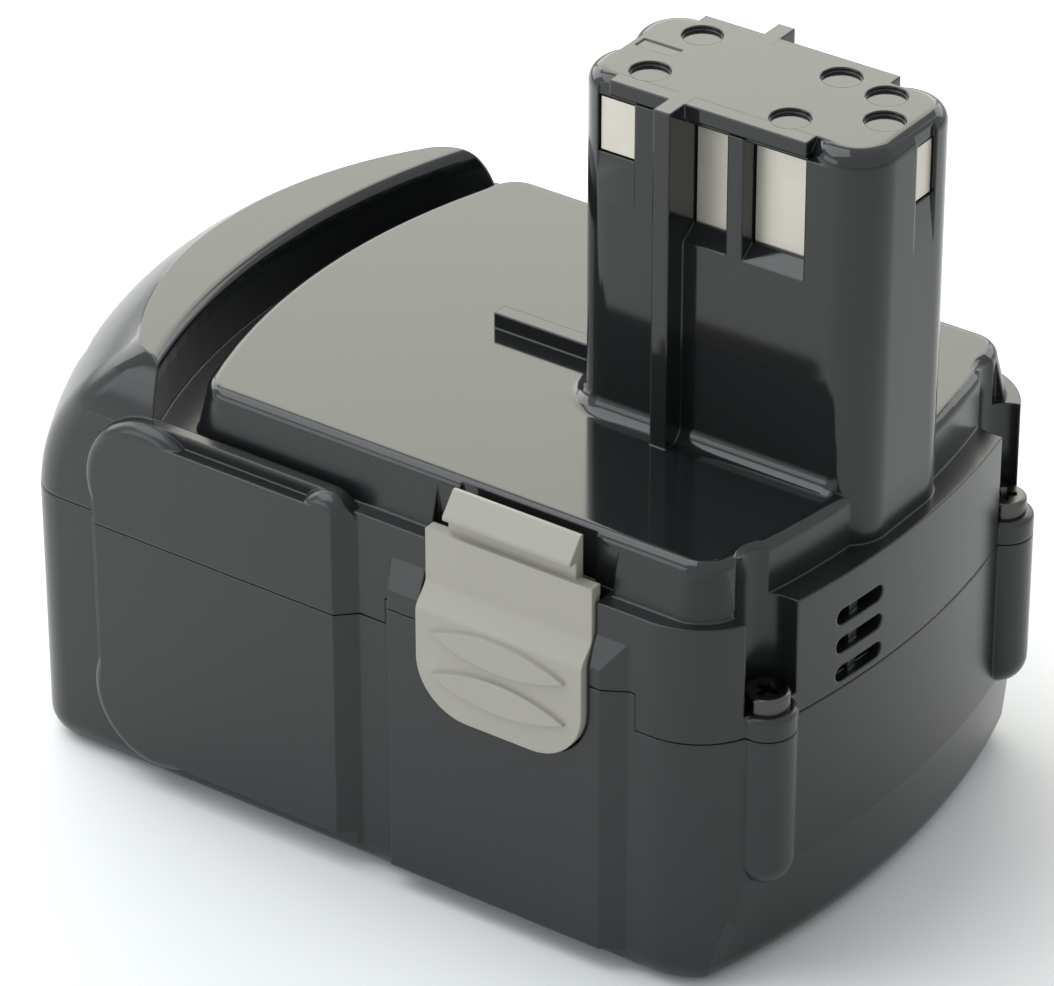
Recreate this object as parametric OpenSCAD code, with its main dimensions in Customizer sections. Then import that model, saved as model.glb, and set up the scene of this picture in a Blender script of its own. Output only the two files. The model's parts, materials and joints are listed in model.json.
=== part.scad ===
// Battery pack of a cordless tool: a two-piece case with a contact stem, ten round cells inside,
// and a sprung release latch on each long side.
// +X is the vented front end, +Z is up, and the base rests on Z = 0.

/* [Case] */
// Overall length, from the front face to the rear face
pack_length = 120; // [119:0.5:130]
// Overall width across the raised side panels
pack_width = 79.5; // [72:0.5:90]
// Overall height, from the base to the top of the stem
pack_height = 106; // [100:1:118]
// Wall thickness of both mouldings
wall = 2.2; // [1.8:0.1:2.4]
// Thickness of the base
base_t = 2.4; // [2:0.1:3]
// Radius of the front face in plan
front_radius = 120; // [100:1:140]
// Radius of the rear face in plan
rear_radius = 67; // [64:1:90]
// Plan radius of the two front corners
front_corner = 11; // [8:0.5:12]
// Plan radius of the two rear corners
rear_corner = 6; // [4:0.5:7]
// Radius of the bottom edge
base_round = 4; // [2:0.5:5]
// Height of the crease where the front face starts to lean in
crease_z = 15; // [12:0.5:17]
// How far the front face leans in below the crease
crease_lean = 1.6; // [0.5:0.1:2]
// Height of the parting line at the rear
parting_rear = 37.8; // [36:0.2:40]
// Height of the parting line on the latch pads
parting_latch = 41.4; // [40.4:0.2:43]
// Height of the parting line at the front
parting_front = 36.2; // [32:0.2:37]
// Height of the tongue that locates the two mouldings
tongue_h = 1.4; // [1:0.1:2]
// Height of the groove along the parting line
groove_h = 0.2; // [0.1:0.05:0.3]
// Depth of the groove along the parting line
groove_depth = 0.4; // [0.2:0.05:0.6]

/* [Deck and lip] */
// Height of the deck that the tool sits on
deck_height = 59.8; // [54:0.1:64]
// Height of the ledge around the deck
ledge_height = 52.5; // [48:0.1:54]
// Width of the ledge on each long side
ledge_w = 3.6; // [3:0.1:4.5]
// Radius of the deck's upper edge
deck_round = 1.6; // [0.8:0.1:2]
// Plan radius of the deck's corners
deck_corner = 4.5; // [3:0.5:8]
// Distance from the front face to the deck's front edge
deck_setback = 3.7; // [3.5:0.1:6]
// Height of the rear grip lip
lip_height = 61.3; // [60:0.1:64]
// Distance from the rear face to the lip's inner edge
lip_reach = 23; // [20:0.5:25]
// Radius of the lip's inner upper edge
lip_edge = 1; // [0.5:0.1:1.4]
// Height at which the sides start to close in beside the lip
shoulder_start = 50.5; // [49:0.1:51]
// Radius of the sides beside the lip
shoulder_radius = 16; // [14:0.2:20]
// Radius of the lip's inner edge in plan
lip_inner_radius = 95; // [80:1:110]
// Clear gap between the lip and the deck
lip_gap = 6.2; // [6:0.2:9]
// Radius of the dome from the rear face to the lip
dome_radius = 30; // [28:1:36]
// Height at which the dome starts
dome_start = 36; // [34:0.5:37]
// Length of the finger recess across the rear face
recess_l = 52; // [40:1:56]
// Depth of the finger recess
recess_depth = 2.4; // [1.5:0.1:3]
// Radius of the finger recess
recess_r = 6.5; // [5:0.1:7]
// Height of the middle of the finger recess
recess_z = 50; // [48:0.5:52]
// Height of the fin on the deck
fin_h = 2.2; // [1:0.1:3]
// Width of the fin on the deck
fin_w = 2.2; // [1.5:0.1:4]
// Length of the fin behind the stem
fin_l = 18; // [8:0.5:24]

/* [Side panels and latch pads] */
// How far each side panel stands out from the wall
panel_proud = 2.3; // [1.9:0.1:2.5]
// Length of each side panel
panel_l = 42; // [30:1:43]
// Distance from the middle of the pack to the panel's front end
panel_front = 2.6; // [0:0.1:4]
// How far each side panel rises above the ledge
panel_rise = 2; // [1:0.1:3.5]
// Radius of the panel's rear corners
panel_round = 10; // [6:0.5:14]
// Radius of the panel's upper front corner
panel_nose = 4; // [3.9:0.1:6]
// Length of the slanted front end of each side panel
panel_slant = 2.4; // [1:0.1:3]
// Radius of the panel's upper, rear and lower edges
panel_edge = 1.8; // [1:0.1:1.9]
// How far each latch pad stands out from the wall
pad_proud = 1.7; // [1:0.1:1.8]
// Length of each latch pad
pad_l = 35.2; // [33:0.2:36]
// Distance from the middle of the pack to the rear end of the latch pads
pad_rear = 7.6; // [7:0.1:8]
// Length of the slanted front end of each latch pad
pad_slant = 3; // [1:0.1:3.4]
// Distance from the ledge down to the top of each latch pad
pad_drop = 4.3; // [3:0.1:6]
// Height of the slope at the top of each latch pad
pad_slope = 4; // [2:0.1:5]
// Height of the lower edge of the panels and pads
pad_foot = 3.4; // [2:0.1:5]

/* [Stem] */
// Length of the stem
stem_l = 42.8; // [38:0.2:44]
// Width of the stem without its ribs
stem_w = 20.8; // [19:0.2:24]
// Distance from the front face to the stem's front end
stem_setback = 1.9; // [1:0.1:3]
// Plan radius of the stem's corners
stem_corner = 5.5; // [4:0.1:6]
// Radius of the stem's upper edge
stem_round = 2.2; // [0.5:0.1:2.4]
// Radius of the fillet where the stem meets the deck
stem_foot = 2.2; // [1:0.1:2.6]
// Wall thickness of the stem
stem_wall = 3; // [2.8:0.1:3.2]
// Thickness of the stem's top
stem_cap = 2; // [1.6:0.1:2.6]
// How far the guide ribs stand out from the stem
guide_proud = 3.2; // [2:0.1:4]
// Thickness of the guide ribs
guide_t = 2.3; // [1.8:0.1:3]
// Distance from the stem's rear end to the guide ribs
guide_back = 14.2; // [13.2:0.1:14.4]
// Depth of the long contact slots below the stem's top
slot_depth = 16.8; // [15:0.1:20]
// Depth of the short contact slots below the stem's top
short_depth = 10.2; // [8:0.1:12]
// Height of the bridge over each contact slot
slot_bridge = 2.6; // [2.2:0.1:3.5]
// How far the bridges lie behind the stem's face
slot_set = 0.5; // [0.2:0.1:0.8]
// Height of the slope below each long slot
slot_slope = 1.8; // [1.5:0.1:3]
// Height of the slope below each short slot
scoop_slope = 8.4; // [6:0.1:10]
// How far the short contact plates lie behind the stem's face
flush_set = 0.6; // [0.4:0.1:0.8]
// Diameter of the shallow round marks on the stem's top
mark_d = 5.2; // [4:0.1:5.4]
// Depth of the marks on the stem's top
mark_depth = 0.25; // [0.2:0.05:0.6]
// Depth of the rectangular mark on the stem's top
plate_mark_depth = 0.15; // [0.1:0.05:0.3]

/* [Latches] */
// Distance from the middle of the pack to the middle of the latches
latch_x = 25.5; // [25:0.1:26]
// Width of a latch
latch_w = 24.6; // [22:0.2:26]
// Height of the lower end of the press plate
latch_foot = 29.8; // [28:0.2:32]
// Thickness of the press plate
latch_t = 1.6; // [1.4:0.1:1.8]
// How far the latch's upper band stands out from the wall
band_proud = 0.5; // [0.2:0.1:0.6]
// How far the thumb plate stands out from its pad
latch_proud = 1; // [0.6:0.1:1.2]
// Distance from the ledge down to the bend between the band and the thumb plate
bend_drop = 5.1; // [4.5:0.1:6]
// Height of the bend
bend_h = 3.6; // [2.5:0.1:4]
// Travel of a latch when it is pressed
latch_travel = 2; // [1:0.1:2.2]
// Width of the hook
hook_w = 18.8; // [16:0.2:20]
// Height of the top of the hook
hook_top = 60; // [58.6:0.1:60.6]
// Thickness of the hook's arm
hook_t = 1.5; // [1.2:0.1:1.8]
// How far the hook's nose reaches out from its arm
hook_nose = 1.3; // [0.8:0.1:1.6]
// Length of each raised grip on the thumb plate
grip_l = 20; // [14:0.5:22]
// Height of each raised grip on the thumb plate
grip_h = 4.4; // [3:0.2:5]
// How far each raised grip stands out from the thumb plate
grip_proud = 0.5; // [0.3:0.1:0.6]
// Distance between the raised grips
grip_pitch = 5.9; // [5.2:0.1:7]
// Running clearance of the latches
latch_gap = 0.3; // [0.2:0.05:0.4]
// Outer diameter of a latch spring
spring_d = 5; // [4.4:0.1:5.4]
// Wire diameter of a latch spring
spring_wire = 0.6; // [0.4:0.05:0.7]
// Number of turns in a latch spring
spring_turns = 5; // [4:1:6]
// Length of a latch spring at rest
spring_l = 6.4; // [6:0.1:6.8]

/* [Screws and vents] */
// Shank diameter of a case screw
screw_d = 3; // [2.5:0.1:3.2]
// Head diameter of a case screw
screw_head_d = 5.8; // [5:0.1:6]
// Head height of a case screw
screw_head_h = 2.2; // [1.6:0.1:2.6]
// Length of a case screw below its head
screw_l = 18; // [12:0.5:20]
// Distance from the middle of the pack to each screw, across
screw_y = 27.4; // [26.4:0.1:27.6]
// Radius of the screw bosses
boss_r = 3.9; // [3.7:0.1:4.2]
// Radius of the upper edge of the screw bosses
boss_round = 0.8; // [0.3:0.1:1]
// Height of the seat under the screw heads
screw_seat = 39.4; // [38.6:0.1:42]
// Height of the lower end of the bosses
boss_foot = 18; // [14:0.5:19]
// Length of a vent slot
vent_l = 9; // [8:0.2:13]
// Height of a vent slot
vent_h = 2.3; // [1.5:0.1:2.6]
// Distance between vent slots
vent_pitch = 4.1; // [3.6:0.1:4.5]
// Height of the lowest vent slot
vent_low = 38.4; // [38:0.1:39]
// Distance from the middle of the pack to the middle of the vents, across
vent_y = 11.9; // [8:0.1:13]
// Width of the bar that divides each vent slot
vent_bar = 1.8; // [1:0.1:3]
// How far the bar lies behind the front face
vent_bar_back = 1; // [0.5:0.1:1.5]

/* [Cells] */
// Diameter of a cell
cell_d = 18.3; // [18:0.1:18.5]
// Room for the tabs and sheets between the cells' ends and the case wall
cell_end_room = 2.75; // [2.6:0.05:3.2]
// Distance between neighbouring cells
cell_pitch = 18.9; // [18.8:0.05:19]
// Diameter of a cell's positive button
button_d = 7; // [5:0.5:8]
// Height of a cell's positive button
button_h = 1.2; // [0.8:0.1:1.6]
// Wall of a cell holder round the outer cells
holder_wall = 0.9; // [0.7:0.1:1]
// Depth of a cell holder along the cells
holder_depth = 14; // [8:0.5:18]
// Clearance between a cell and its holder
cell_gap = 0.2; // [0.1:0.05:0.2]
// Thickness of a nickel tab
tab_t = 0.2; // [0.1:0.05:0.25]
// Width of a nickel tab
tab_w = 9; // [7:0.2:12]
// Thickness of an insulating sheet
sheet_t = 0.4; // [0.2:0.05:0.5]
// Thickness of the foam pad under the cells
foam_t = 0.8; // [0.5:0.1:1]

/* [Control board] */
// Clearance between the control board and the deck's rear wall
board_rear_gap = 1; // [0.5:0.1:2]
// Distance from the front face to the control board's front end
board_front_gap = 15; // [12:0.5:18]
// Clearance between the control board and the spring pockets
board_side_gap = 3.55; // [3:0.05:5]
// Thickness of the control board
board_t = 1.6; // [1:0.1:1.8]
// Height of the posts under the control board
board_post = 3.6; // [2.5:0.1:3.8]
// Diameter of the posts under the control board
board_post_d = 5; // [4:0.1:6]
// Width of the control chip
chip_w = 8; // [6:0.2:9]
// Height of the control chip
chip_h = 1.4; // [1:0.1:1.8]
// Width of a power transistor
transistor_w = 6.4; // [5:0.1:7.4]
// Height of a power transistor
transistor_h = 2.2; // [1.6:0.1:2.6]
// Length of the shunt
shunt_l = 7; // [5:0.1:8]
// Width of the shunt
shunt_w = 3.2; // [2:0.1:4]
// Diameter of the capacitor
capacitor_d = 5; // [4:0.1:6.3]
// Height of the capacitor as a share of the room between the board and the deck
capacitor_share = 0.56; // [0.4:0.02:0.8]
// Thickness of a contact plate
contact_t = 0.8; // [0.6:0.05:0.9]
// Clearance between the terminal tower and the stem
tower_gap = 0.4; // [0.3:0.05:0.5]

/* [Hidden] */
$fn = 64;

case_black = [0.13, 0.14, 0.15];
latch_beige = [0.72, 0.70, 0.65];
steel = [0.62, 0.62, 0.60];
nickel = [0.80, 0.78, 0.72];
cell_green = [0.24, 0.52, 0.40];
holder_white = [0.88, 0.88, 0.85];
board_green = [0.10, 0.30, 0.18];

far = 2 * pack_length;
front_x = pack_length / 2;
rear_x = -pack_length / 2;
front_axis = front_x - front_radius;
rear_axis = rear_x + rear_radius;
side_half = pack_width / 2 - panel_proud;
cavity_half = side_half - wall;
deck_half = side_half - ledge_w;
deck_roof = deck_height - wall;
ledge_roof = ledge_height - wall;
fit_gap = 0.15;
// how far joined features run into each other, and how far cuts run past a face
overlap = 0.1;
past = 1;
tongue_t = 0.9;
parting_step = 1;

lip_inner_x = rear_x + lip_reach;
lip_axis = lip_inner_x + lip_inner_radius;
deck_rear_x = lip_inner_x + lip_gap;
deck_rear_radius = lip_axis - deck_rear_x;
deck_front_radius = front_radius - deck_setback;
panel_top = ledge_height + panel_rise;
panel_rear = panel_front - panel_l;
panel_half = pack_width / 2;
pad_top = ledge_height - pad_drop;
root_half = side_half - wall / 2;

stem_front = front_x - stem_setback;
stem_rear = stem_front - stem_l;
stem_half = stem_w / 2;
stem_floor = ledge_roof - 1;
guide_x = stem_rear + guide_back + guide_t / 2;
slot_low = pack_height - slot_depth;
short_low = pack_height - short_depth;
slot_top = pack_height - slot_bridge;
tower_half = stem_half - stem_wall - tower_gap;
tower_rear = stem_rear + stem_wall + tower_gap;
tower_front = stem_front - stem_wall - tower_gap;
flush_reach = stem_wall + tower_gap - flush_set;

pad_face = side_half + pad_proud;
thumb_face = pad_face + latch_proud;
band_face = side_half + band_proud;
band_back = band_face - latch_t;
pocket_depth = latch_travel + latch_gap;
pocket_floor = band_back - pocket_depth;
pocket_wall = 1.6;
pocket_inner = pocket_floor - pocket_wall;
shelf_low = ledge_height + latch_gap;
shelf_top = shelf_low + latch_t;
hook_room = 1.75;
hook_inner = deck_half + hook_room;
shelf_inner = max(hook_inner, deck_half + pocket_depth);
hook_pocket = max(overlap, pocket_depth - hook_room);
hook_side_gap = 0.6;
spring_y = band_back - spring_l;
spring_z = ledge_height - 4.1;
bend_top = ledge_height - bend_drop;
spring_boss_r = spring_d / 2 + latch_gap + 1.1;
spring_floor_t = 1.4;
spring_pin_l = 2;
plate_round = 7.5;
bend_steps = 10;
grip_z = 38.4;
nose_h = 2.8;
nose_t = 0.5;
guide_tongue_x = 6.6;
guide_tongue_w = 3.4;
guide_tongue_h = 3.2;
guide_catch = 0.8;
catch_t = 1.1;
catch_gap = 0.2;

screw_x = front_x - boss_r;
well_r = boss_r + fit_gap;
screw_bore_r = screw_d / 2 + fit_gap;
head_curve = 4.6;
cross_w = 1;
cross_depth = 1.3;
cross_turn = 20;

cells_per_layer = 5;
cell_l = 2 * (cavity_half - cell_end_room);
foam_z = base_t;
holder_low = foam_z + foam_t;
cell_bore_r = cell_d / 2 + cell_gap;
layer_1_z = holder_low + holder_wall + cell_bore_r;
layer_2_z = layer_1_z + cell_pitch;
holder_top = layer_2_z + cell_bore_r + holder_wall;
holder_half_l = (cells_per_layer - 1) / 2 * cell_pitch + cell_bore_r + holder_wall;
holder_outer = cell_l / 2 - 2 * cell_gap;
holder_inner = holder_outer - holder_depth;
tab_y = cell_l / 2;
sheet_gap = 0.1;
sheet_y = tab_y + tab_t + sheet_gap;
tab_fold_z = holder_top + 2 * sheet_gap;
tail_w = 3;
tail_land = 3;
board_z = holder_top + board_post;
board_top = board_z + board_t;
board_w = 2 * (spring_y - spring_floor_t - board_side_gap);
board_rear = lip_axis - sqrt(pow(deck_rear_radius - wall, 2) - pow(board_w / 2, 2)) + board_rear_gap;
board_front = front_x - board_front_gap;
board_l = board_front - board_rear;
post_y = (holder_inner + board_w / 2) / 2;
post_x = [board_rear + 2.9, board_front - 8];
capacitor_h = capacitor_share * (deck_roof - board_top);
contact_y = tower_half + contact_t;
contact_gap = 0.2;

// each slot: distance of its rear and front edges from the stem's rear end
slot_rear = [3.9, 9.4];
slot_middle = [16.5, 22.7];
slot_front = [24.9, 33.7];
// the slot in the stem's front end: its two edges across
slot_end = [-0.4, 4];
// middles of the round marks, from the stem's rear end and from its middle across
round_marks = [[8.3, 5.7], [8.4, -5.7], [28, 6.1], [35, 5.1], [28.7, -6.2], [38.2, -0.4]];
// size and middle of the rectangular mark
plate_mark = [5.6, 2.1];
plate_mark_x = 5.8;
// places on the control board, as shares of its length from the rear and of its width from the middle
transistor_places = [[0.1, -0.2], [0.1, 0.08]];
chip_place = [0.29, 0];
shunt_place = [0.28, 0.31];
capacitor_place = [0.41, -0.32];

function column_x(column) = (column - (cells_per_layer - 1) / 2) * cell_pitch;
function layer_z(layer) = layer == 0 ? layer_1_z : layer_2_z;
function points_right(column) = column % 2 == 0;
function board_place(share) = [board_rear + share[0] * board_l, share[1] * board_w, board_top];

// Both outlines and their rounded corners in plan

// centre of a corner circle that touches the side line and an end arc
function corner_reach(arc_radius, half_w, corner) =
  sqrt(pow(arc_radius - corner, 2) - pow(half_w - corner, 2));

// everything outside a corner circle, between its two touching points
module corner_wedge(arc_x, arc_radius, half_w, corner, end, side) {
  reach = corner_reach(arc_radius, half_w, corner);
  length = arc_radius - corner;
  out = [end * reach, side * (half_w - corner)] / length * 3 * corner;
  translate([arc_x + end * reach, side * (half_w - corner)])
    polygon([[0, 0], [0, side * 3 * corner], [out[0], out[1] + side * 3 * corner], out]);
}

module corner_disc(arc_x, arc_radius, half_w, corner, end, side) {
  translate([arc_x + end * corner_reach(arc_radius, half_w, corner), side * (half_w - corner)])
    circle(corner);
}

module plan(front_c, front_r, front_corner_r, rear_c, rear_r, rear_corner_r, half_w) {
  difference() {
    intersection() {
      square([far, 2 * half_w], center = true);
      translate([front_c, 0]) circle(front_r);
      translate([rear_c, 0]) circle(rear_r);
    }
    for (side = [-1, 1]) {
      corner_wedge(front_c, front_r, half_w, front_corner_r, 1, side);
      corner_wedge(rear_c, rear_r, half_w, rear_corner_r, -1, side);
    }
  }
  for (side = [-1, 1]) {
    corner_disc(front_c, front_r, half_w, front_corner_r, 1, side);
    corner_disc(rear_c, rear_r, half_w, rear_corner_r, -1, side);
  }
}

module case_plan(inset) {
  plan(front_axis, front_radius - inset, front_corner - inset,
    rear_axis, rear_radius - inset, rear_corner - inset, side_half - inset);
}

module deck_plan(inset) {
  plan(front_axis, deck_front_radius - inset, deck_corner - inset,
    lip_axis, deck_rear_radius - inset, deck_corner - inset, deck_half - inset);
}

// carries its children to the two corner centres at one end of the case
module at_case_corners(end) {
  radius = end > 0 ? front_radius : rear_radius;
  corner = end > 0 ? front_corner : rear_corner;
  axis_x = end > 0 ? front_axis : rear_axis;
  for (side = [-1, 1])
    translate([axis_x + end * corner_reach(radius, side_half, corner), side * (side_half - corner), 0])
      children();
}

module stem_plan(inset) {
  half_l = stem_l / 2 - inset;
  half_w = stem_half - inset;
  corner = stem_corner - inset;
  translate([(stem_front + stem_rear) / 2, 0]) {
    square([2 * half_l, 2 * (half_w - corner)], center = true);
    square([2 * (half_l - corner), 2 * half_w], center = true);
    for (x = [-1, 1], y = [-1, 1])
      translate([x * (half_l - corner), y * (half_w - corner)]) circle(corner);
  }
}

// Half profiles for the bodies of revolution

module dome_profile(inset) {
  radius = rear_radius - inset;
  intersection() {
    square([radius, lip_height + 1]);
    union() {
      square([radius, dome_start]);
      square([rear_radius - dome_radius, lip_height + 1]);
      translate([rear_radius - dome_radius, dome_start]) circle(dome_radius - inset, $fn = 128);
    }
  }
}

// the room under the rounded sides of the lip
module shoulders() {
  middle = side_half - shoulder_radius;
  translate([-pack_length, -middle, 0]) cube([pack_length, 2 * middle, lip_height + past]);
  for (side = [-1, 1])
    translate([-pack_length, side * middle, shoulder_start]) rotate([0, 90, 0])
      cylinder(h = pack_length, r = shoulder_radius, $fn = 128);
}

module base_profile(half_w, height, lean) {
  foot = half_w - lean;
  square([foot - base_round, height]);
  polygon([[0, base_round], [foot, base_round], [half_w, crease_z], [half_w, height], [0, height]]);
  translate([foot - base_round, base_round]) circle(base_round);
}

module edge_profile(half_w, height, edge) {
  square([half_w, height - edge]);
  square([half_w - edge, height]);
  translate([half_w - edge, height - edge]) circle(edge);
}

module along_x(length) {
  rotate([90, 0, 90]) linear_extrude(length, center = true) {
    children();
    mirror([1, 0]) children();
  }
}

// The region under the stepped parting line, raised by lift

module under_parting(lift) {
  step_1 = pad_rear - parting_step;
  step_2 = pad_rear + pad_l + parting_step;
  rotate([90, 0, 0]) linear_extrude(far, center = true)
    polygon([[-far, -far], [far, -far], [far, parting_front + lift], [step_2, parting_front + lift],
      [step_2, parting_latch + lift], [step_1, parting_latch + lift], [step_1, parting_rear + lift],
      [-far, parting_rear + lift]]);
}

// a side panel seen from outside, with rounded rear corners and a rounded upper front corner
module panel_outline(inset) {
  rear = panel_rear + inset;
  low = pad_foot + inset;
  top = panel_top - inset;
  corner = panel_round - inset;
  nose = panel_nose - inset;
  nose_x = panel_front - panel_nose;
  translate([rear + corner, low]) square([nose_x - rear - corner, top - low]);
  translate([rear, low + corner]) square([nose_x - rear, top - low - 2 * corner]);
  translate([nose_x, low]) square([panel_nose, top - nose - low]);
  translate([rear + corner, low + corner]) circle(corner);
  translate([rear + corner, top - corner]) circle(corner);
  translate([nose_x, top - nose]) circle(nose);
}

// the rounded edge of the panel on the right side: rods along its edges and rings at its corners
module panel_edges() {
  corner_x = panel_rear + panel_round;
  nose_x = panel_front - panel_nose;
  for (z = [pad_foot + panel_edge, panel_top - panel_edge])
    translate([corner_x, 0, z]) rotate([0, 90, 0])
      cylinder(h = (z < ledge_height / 2 ? panel_front : nose_x) - corner_x, r = panel_edge);
  translate([panel_rear + panel_edge, 0, pad_foot + panel_round])
    cylinder(h = panel_top - pad_foot - 2 * panel_round, r = panel_edge);
  for (z = [pad_foot + panel_round, panel_top - panel_round])
    translate([corner_x, 0, z]) rotate([90, 0, 0]) rotate_extrude()
      translate([panel_round - panel_edge, 0]) circle(panel_edge);
  translate([nose_x, 0, panel_top - panel_nose]) rotate([90, 0, 0]) rotate_extrude()
    translate([panel_nose - panel_edge, 0]) circle(panel_edge);
}

module panels() {
  for (side = [0, 1]) mirror([0, side, 0]) intersection() {
    union() {
      translate([0, panel_half - panel_edge, 0]) {
        rotate([90, 0, 0]) linear_extrude(panel_half) panel_outline(0);
        panel_edges();
      }
      translate([0, panel_half, 0]) rotate([90, 0, 0]) linear_extrude(panel_half) panel_outline(panel_edge);
    }
    linear_extrude(far) polygon([[-far, root_half], [panel_front, root_half], [panel_front, side_half],
      [panel_front - panel_slant, panel_half], [-far, panel_half]]);
  }
}

module latch_pads() {
  front_end = pad_rear + pad_l;
  rear_slant = pad_proud / 3;
  intersection() {
    along_x(far) polygon([[root_half, pad_foot], [pad_face, pad_foot], [pad_face, pad_top - pad_slope],
      [side_half, pad_top], [root_half, pad_top]]);
    linear_extrude(far) for (side = [0, 1]) mirror([0, side])
      polygon([[pad_rear, root_half], [pad_rear, side_half], [pad_rear + rear_slant, pad_face],
        [front_end - pad_slant, pad_face], [front_end, side_half], [front_end, root_half]]);
  }
}

module screw_bosses() {
  for (side = [-1, 1])
    translate([screw_x, side * screw_y, boss_foot]) {
      rotate_extrude() edge_profile(boss_r, screw_seat - boss_foot, boss_round);
      sphere(boss_r);
    }
}

// the columns that keep the screws and their wells apart from the inside
module screw_columns(radius) {
  for (side = [-1, 1])
    translate([screw_x, side * screw_y, 0]) cylinder(h = far, r = radius);
}

// Pocket that a latch's press plate slides in, and the openings behind it

module latch_room(side) {
  mirror([0, side > 0 ? 1 : 0, 0]) {
    translate([latch_x, 0, 0]) intersection() {
      latch_outline(latch_gap);
      translate([0, pocket_depth, 0]) rotate([90, 0, 90]) linear_extrude(far, center = true)
        latch_profile(far);
    }
    for (x = [-1, 1])
      translate([latch_x + x * guide_tongue_x - guide_tongue_w / 2 - latch_gap, -band_back,
        spring_z - guide_tongue_h / 2 - latch_gap])
        cube([guide_tongue_w + 2 * latch_gap, band_back - pocket_inner + past,
          guide_tongue_h + 2 * latch_gap]);
    translate([latch_x, -spring_y, spring_z]) rotate([90, 0, 0])
      cylinder(h = spring_l + past, r = spring_d / 2 + latch_gap);
  }
}

// the wall behind a latch's pocket and round its spring
module latch_backing(side) {
  half = latch_w / 2 + latch_gap + pocket_wall;
  low = latch_foot - latch_gap - pocket_wall;
  step_z = bend_top - bend_h - pocket_wall;
  thumb_inner = thumb_face - latch_t - pocket_depth - pocket_wall;
  mirror([0, side > 0 ? 1 : 0, 0]) {
    translate([latch_x - half, -side_half, low])
      cube([2 * half, side_half - thumb_inner, ledge_height - low]);
    translate([latch_x - half, -side_half, step_z])
      cube([2 * half, side_half - pocket_inner, ledge_height - step_z]);
    translate([latch_x, spring_floor_t - spring_y, spring_z]) rotate([90, 0, 0])
      cylinder(h = pocket_inner - spring_y + spring_floor_t + overlap, r = spring_boss_r);
  }
}

// Upper case

module lip() {
  difference() {
    intersection() {
      translate([rear_axis, 0, 0]) rotate_extrude($fn = 128) dome_profile(0);
      shoulders();
      translate([rear_x, -side_half, ledge_height - overlap])
        cube([-rear_x, 2 * side_half, lip_height - ledge_height + overlap]);
    }
    translate([lip_axis, 0, 0]) cylinder(h = far, r = lip_inner_radius, $fn = 128);
    translate([lip_axis, 0, lip_height - lip_edge]) rotate_extrude($fn = 128)
      translate([lip_inner_radius - past, 0]) difference() {
        square(lip_edge + past);
        translate([lip_edge + past, 0]) circle(lip_edge);
      }
  }
}

module deck_block() {
  height = deck_height - ledge_roof;
  translate([0, 0, ledge_roof]) intersection() {
    linear_extrude(height) deck_plan(0);
    along_x(far) edge_profile(deck_half, height, deck_round);
    translate([front_axis, 0, 0]) rotate_extrude($fn = 128)
      edge_profile(deck_front_radius, height, deck_round);
    translate([lip_axis, 0, 0]) rotate_extrude($fn = 128)
      edge_profile(deck_rear_radius, height, deck_round);
  }
}

// the rounded upper edge of the stem: a rod along each side and a ring at each corner
module stem_edge() {
  x = stem_l / 2 - stem_corner;
  y = stem_half - stem_corner;
  reach = stem_corner - stem_round;
  translate([(stem_front + stem_rear) / 2, 0, pack_height - stem_round])
    for (end = [-1, 1]) {
      translate([0, end * (y + reach), 0]) rotate([0, 90, 0])
        cylinder(h = 2 * x, r = stem_round, center = true);
      translate([end * (x + reach), 0, 0]) rotate([90, 0, 0])
        cylinder(h = 2 * y, r = stem_round, center = true);
      for (side = [-1, 1])
        translate([end * x, side * y, 0]) rotate_extrude() translate([reach, 0]) circle(stem_round);
    }
}

module stem_foot_profile() {
  difference() {
    translate([-overlap, -overlap]) square(stem_foot + overlap);
    translate([stem_foot, stem_foot]) circle(stem_foot);
  }
}

// the fillet round the foot of the stem, as far as the deck reaches
module stem_fillet() {
  x = stem_l / 2 - stem_corner;
  y = stem_half - stem_corner;
  intersection() {
    translate([(stem_front + stem_rear) / 2, 0, deck_height]) {
      for (side = [0, 1]) mirror([0, side, 0]) {
        translate([0, stem_half, 0]) rotate([90, 0, 90]) linear_extrude(2 * x, center = true)
          stem_foot_profile();
        for (end = [-1, 1])
          translate([end * x, y, 0]) rotate_extrude() translate([stem_corner, 0]) stem_foot_profile();
      }
      mirror([1, 0, 0]) translate([stem_l / 2, 0, 0]) rotate([90, 0, 0])
        linear_extrude(2 * y, center = true) stem_foot_profile();
    }
    linear_extrude(far) deck_plan(deck_round);
  }
}

module stem_block() {
  translate([0, 0, ledge_roof]) linear_extrude(pack_height - stem_round - ledge_roof) stem_plan(0);
  translate([0, 0, ledge_roof]) linear_extrude(pack_height - ledge_roof) stem_plan(stem_round);
  stem_edge();
  translate([guide_x - guide_t / 2, -stem_half - guide_proud, deck_roof])
    cube([guide_t, 2 * (stem_half + guide_proud), pack_height - deck_roof]);
}

module fin() {
  translate([stem_rear - fin_l, -fin_w / 2, deck_roof])
    cube([fin_l + past, fin_w, deck_height + fin_h - deck_roof]);
}

module upper_outer() {
  difference() {
    intersection() {
      union() {
        intersection() {
          linear_extrude(ledge_height) case_plan(0);
          translate([rear_axis, 0, 0]) rotate_extrude($fn = 128) dome_profile(0);
        }
        panels();
        latch_pads();
        screw_bosses();
      }
      translate([0, 0, parting_front]) linear_extrude(far) square(far, center = true);
    }
    under_parting(0);
  }
  lip();
  deck_block();
  stem_block();
  stem_fillet();
  fin();
}

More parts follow.
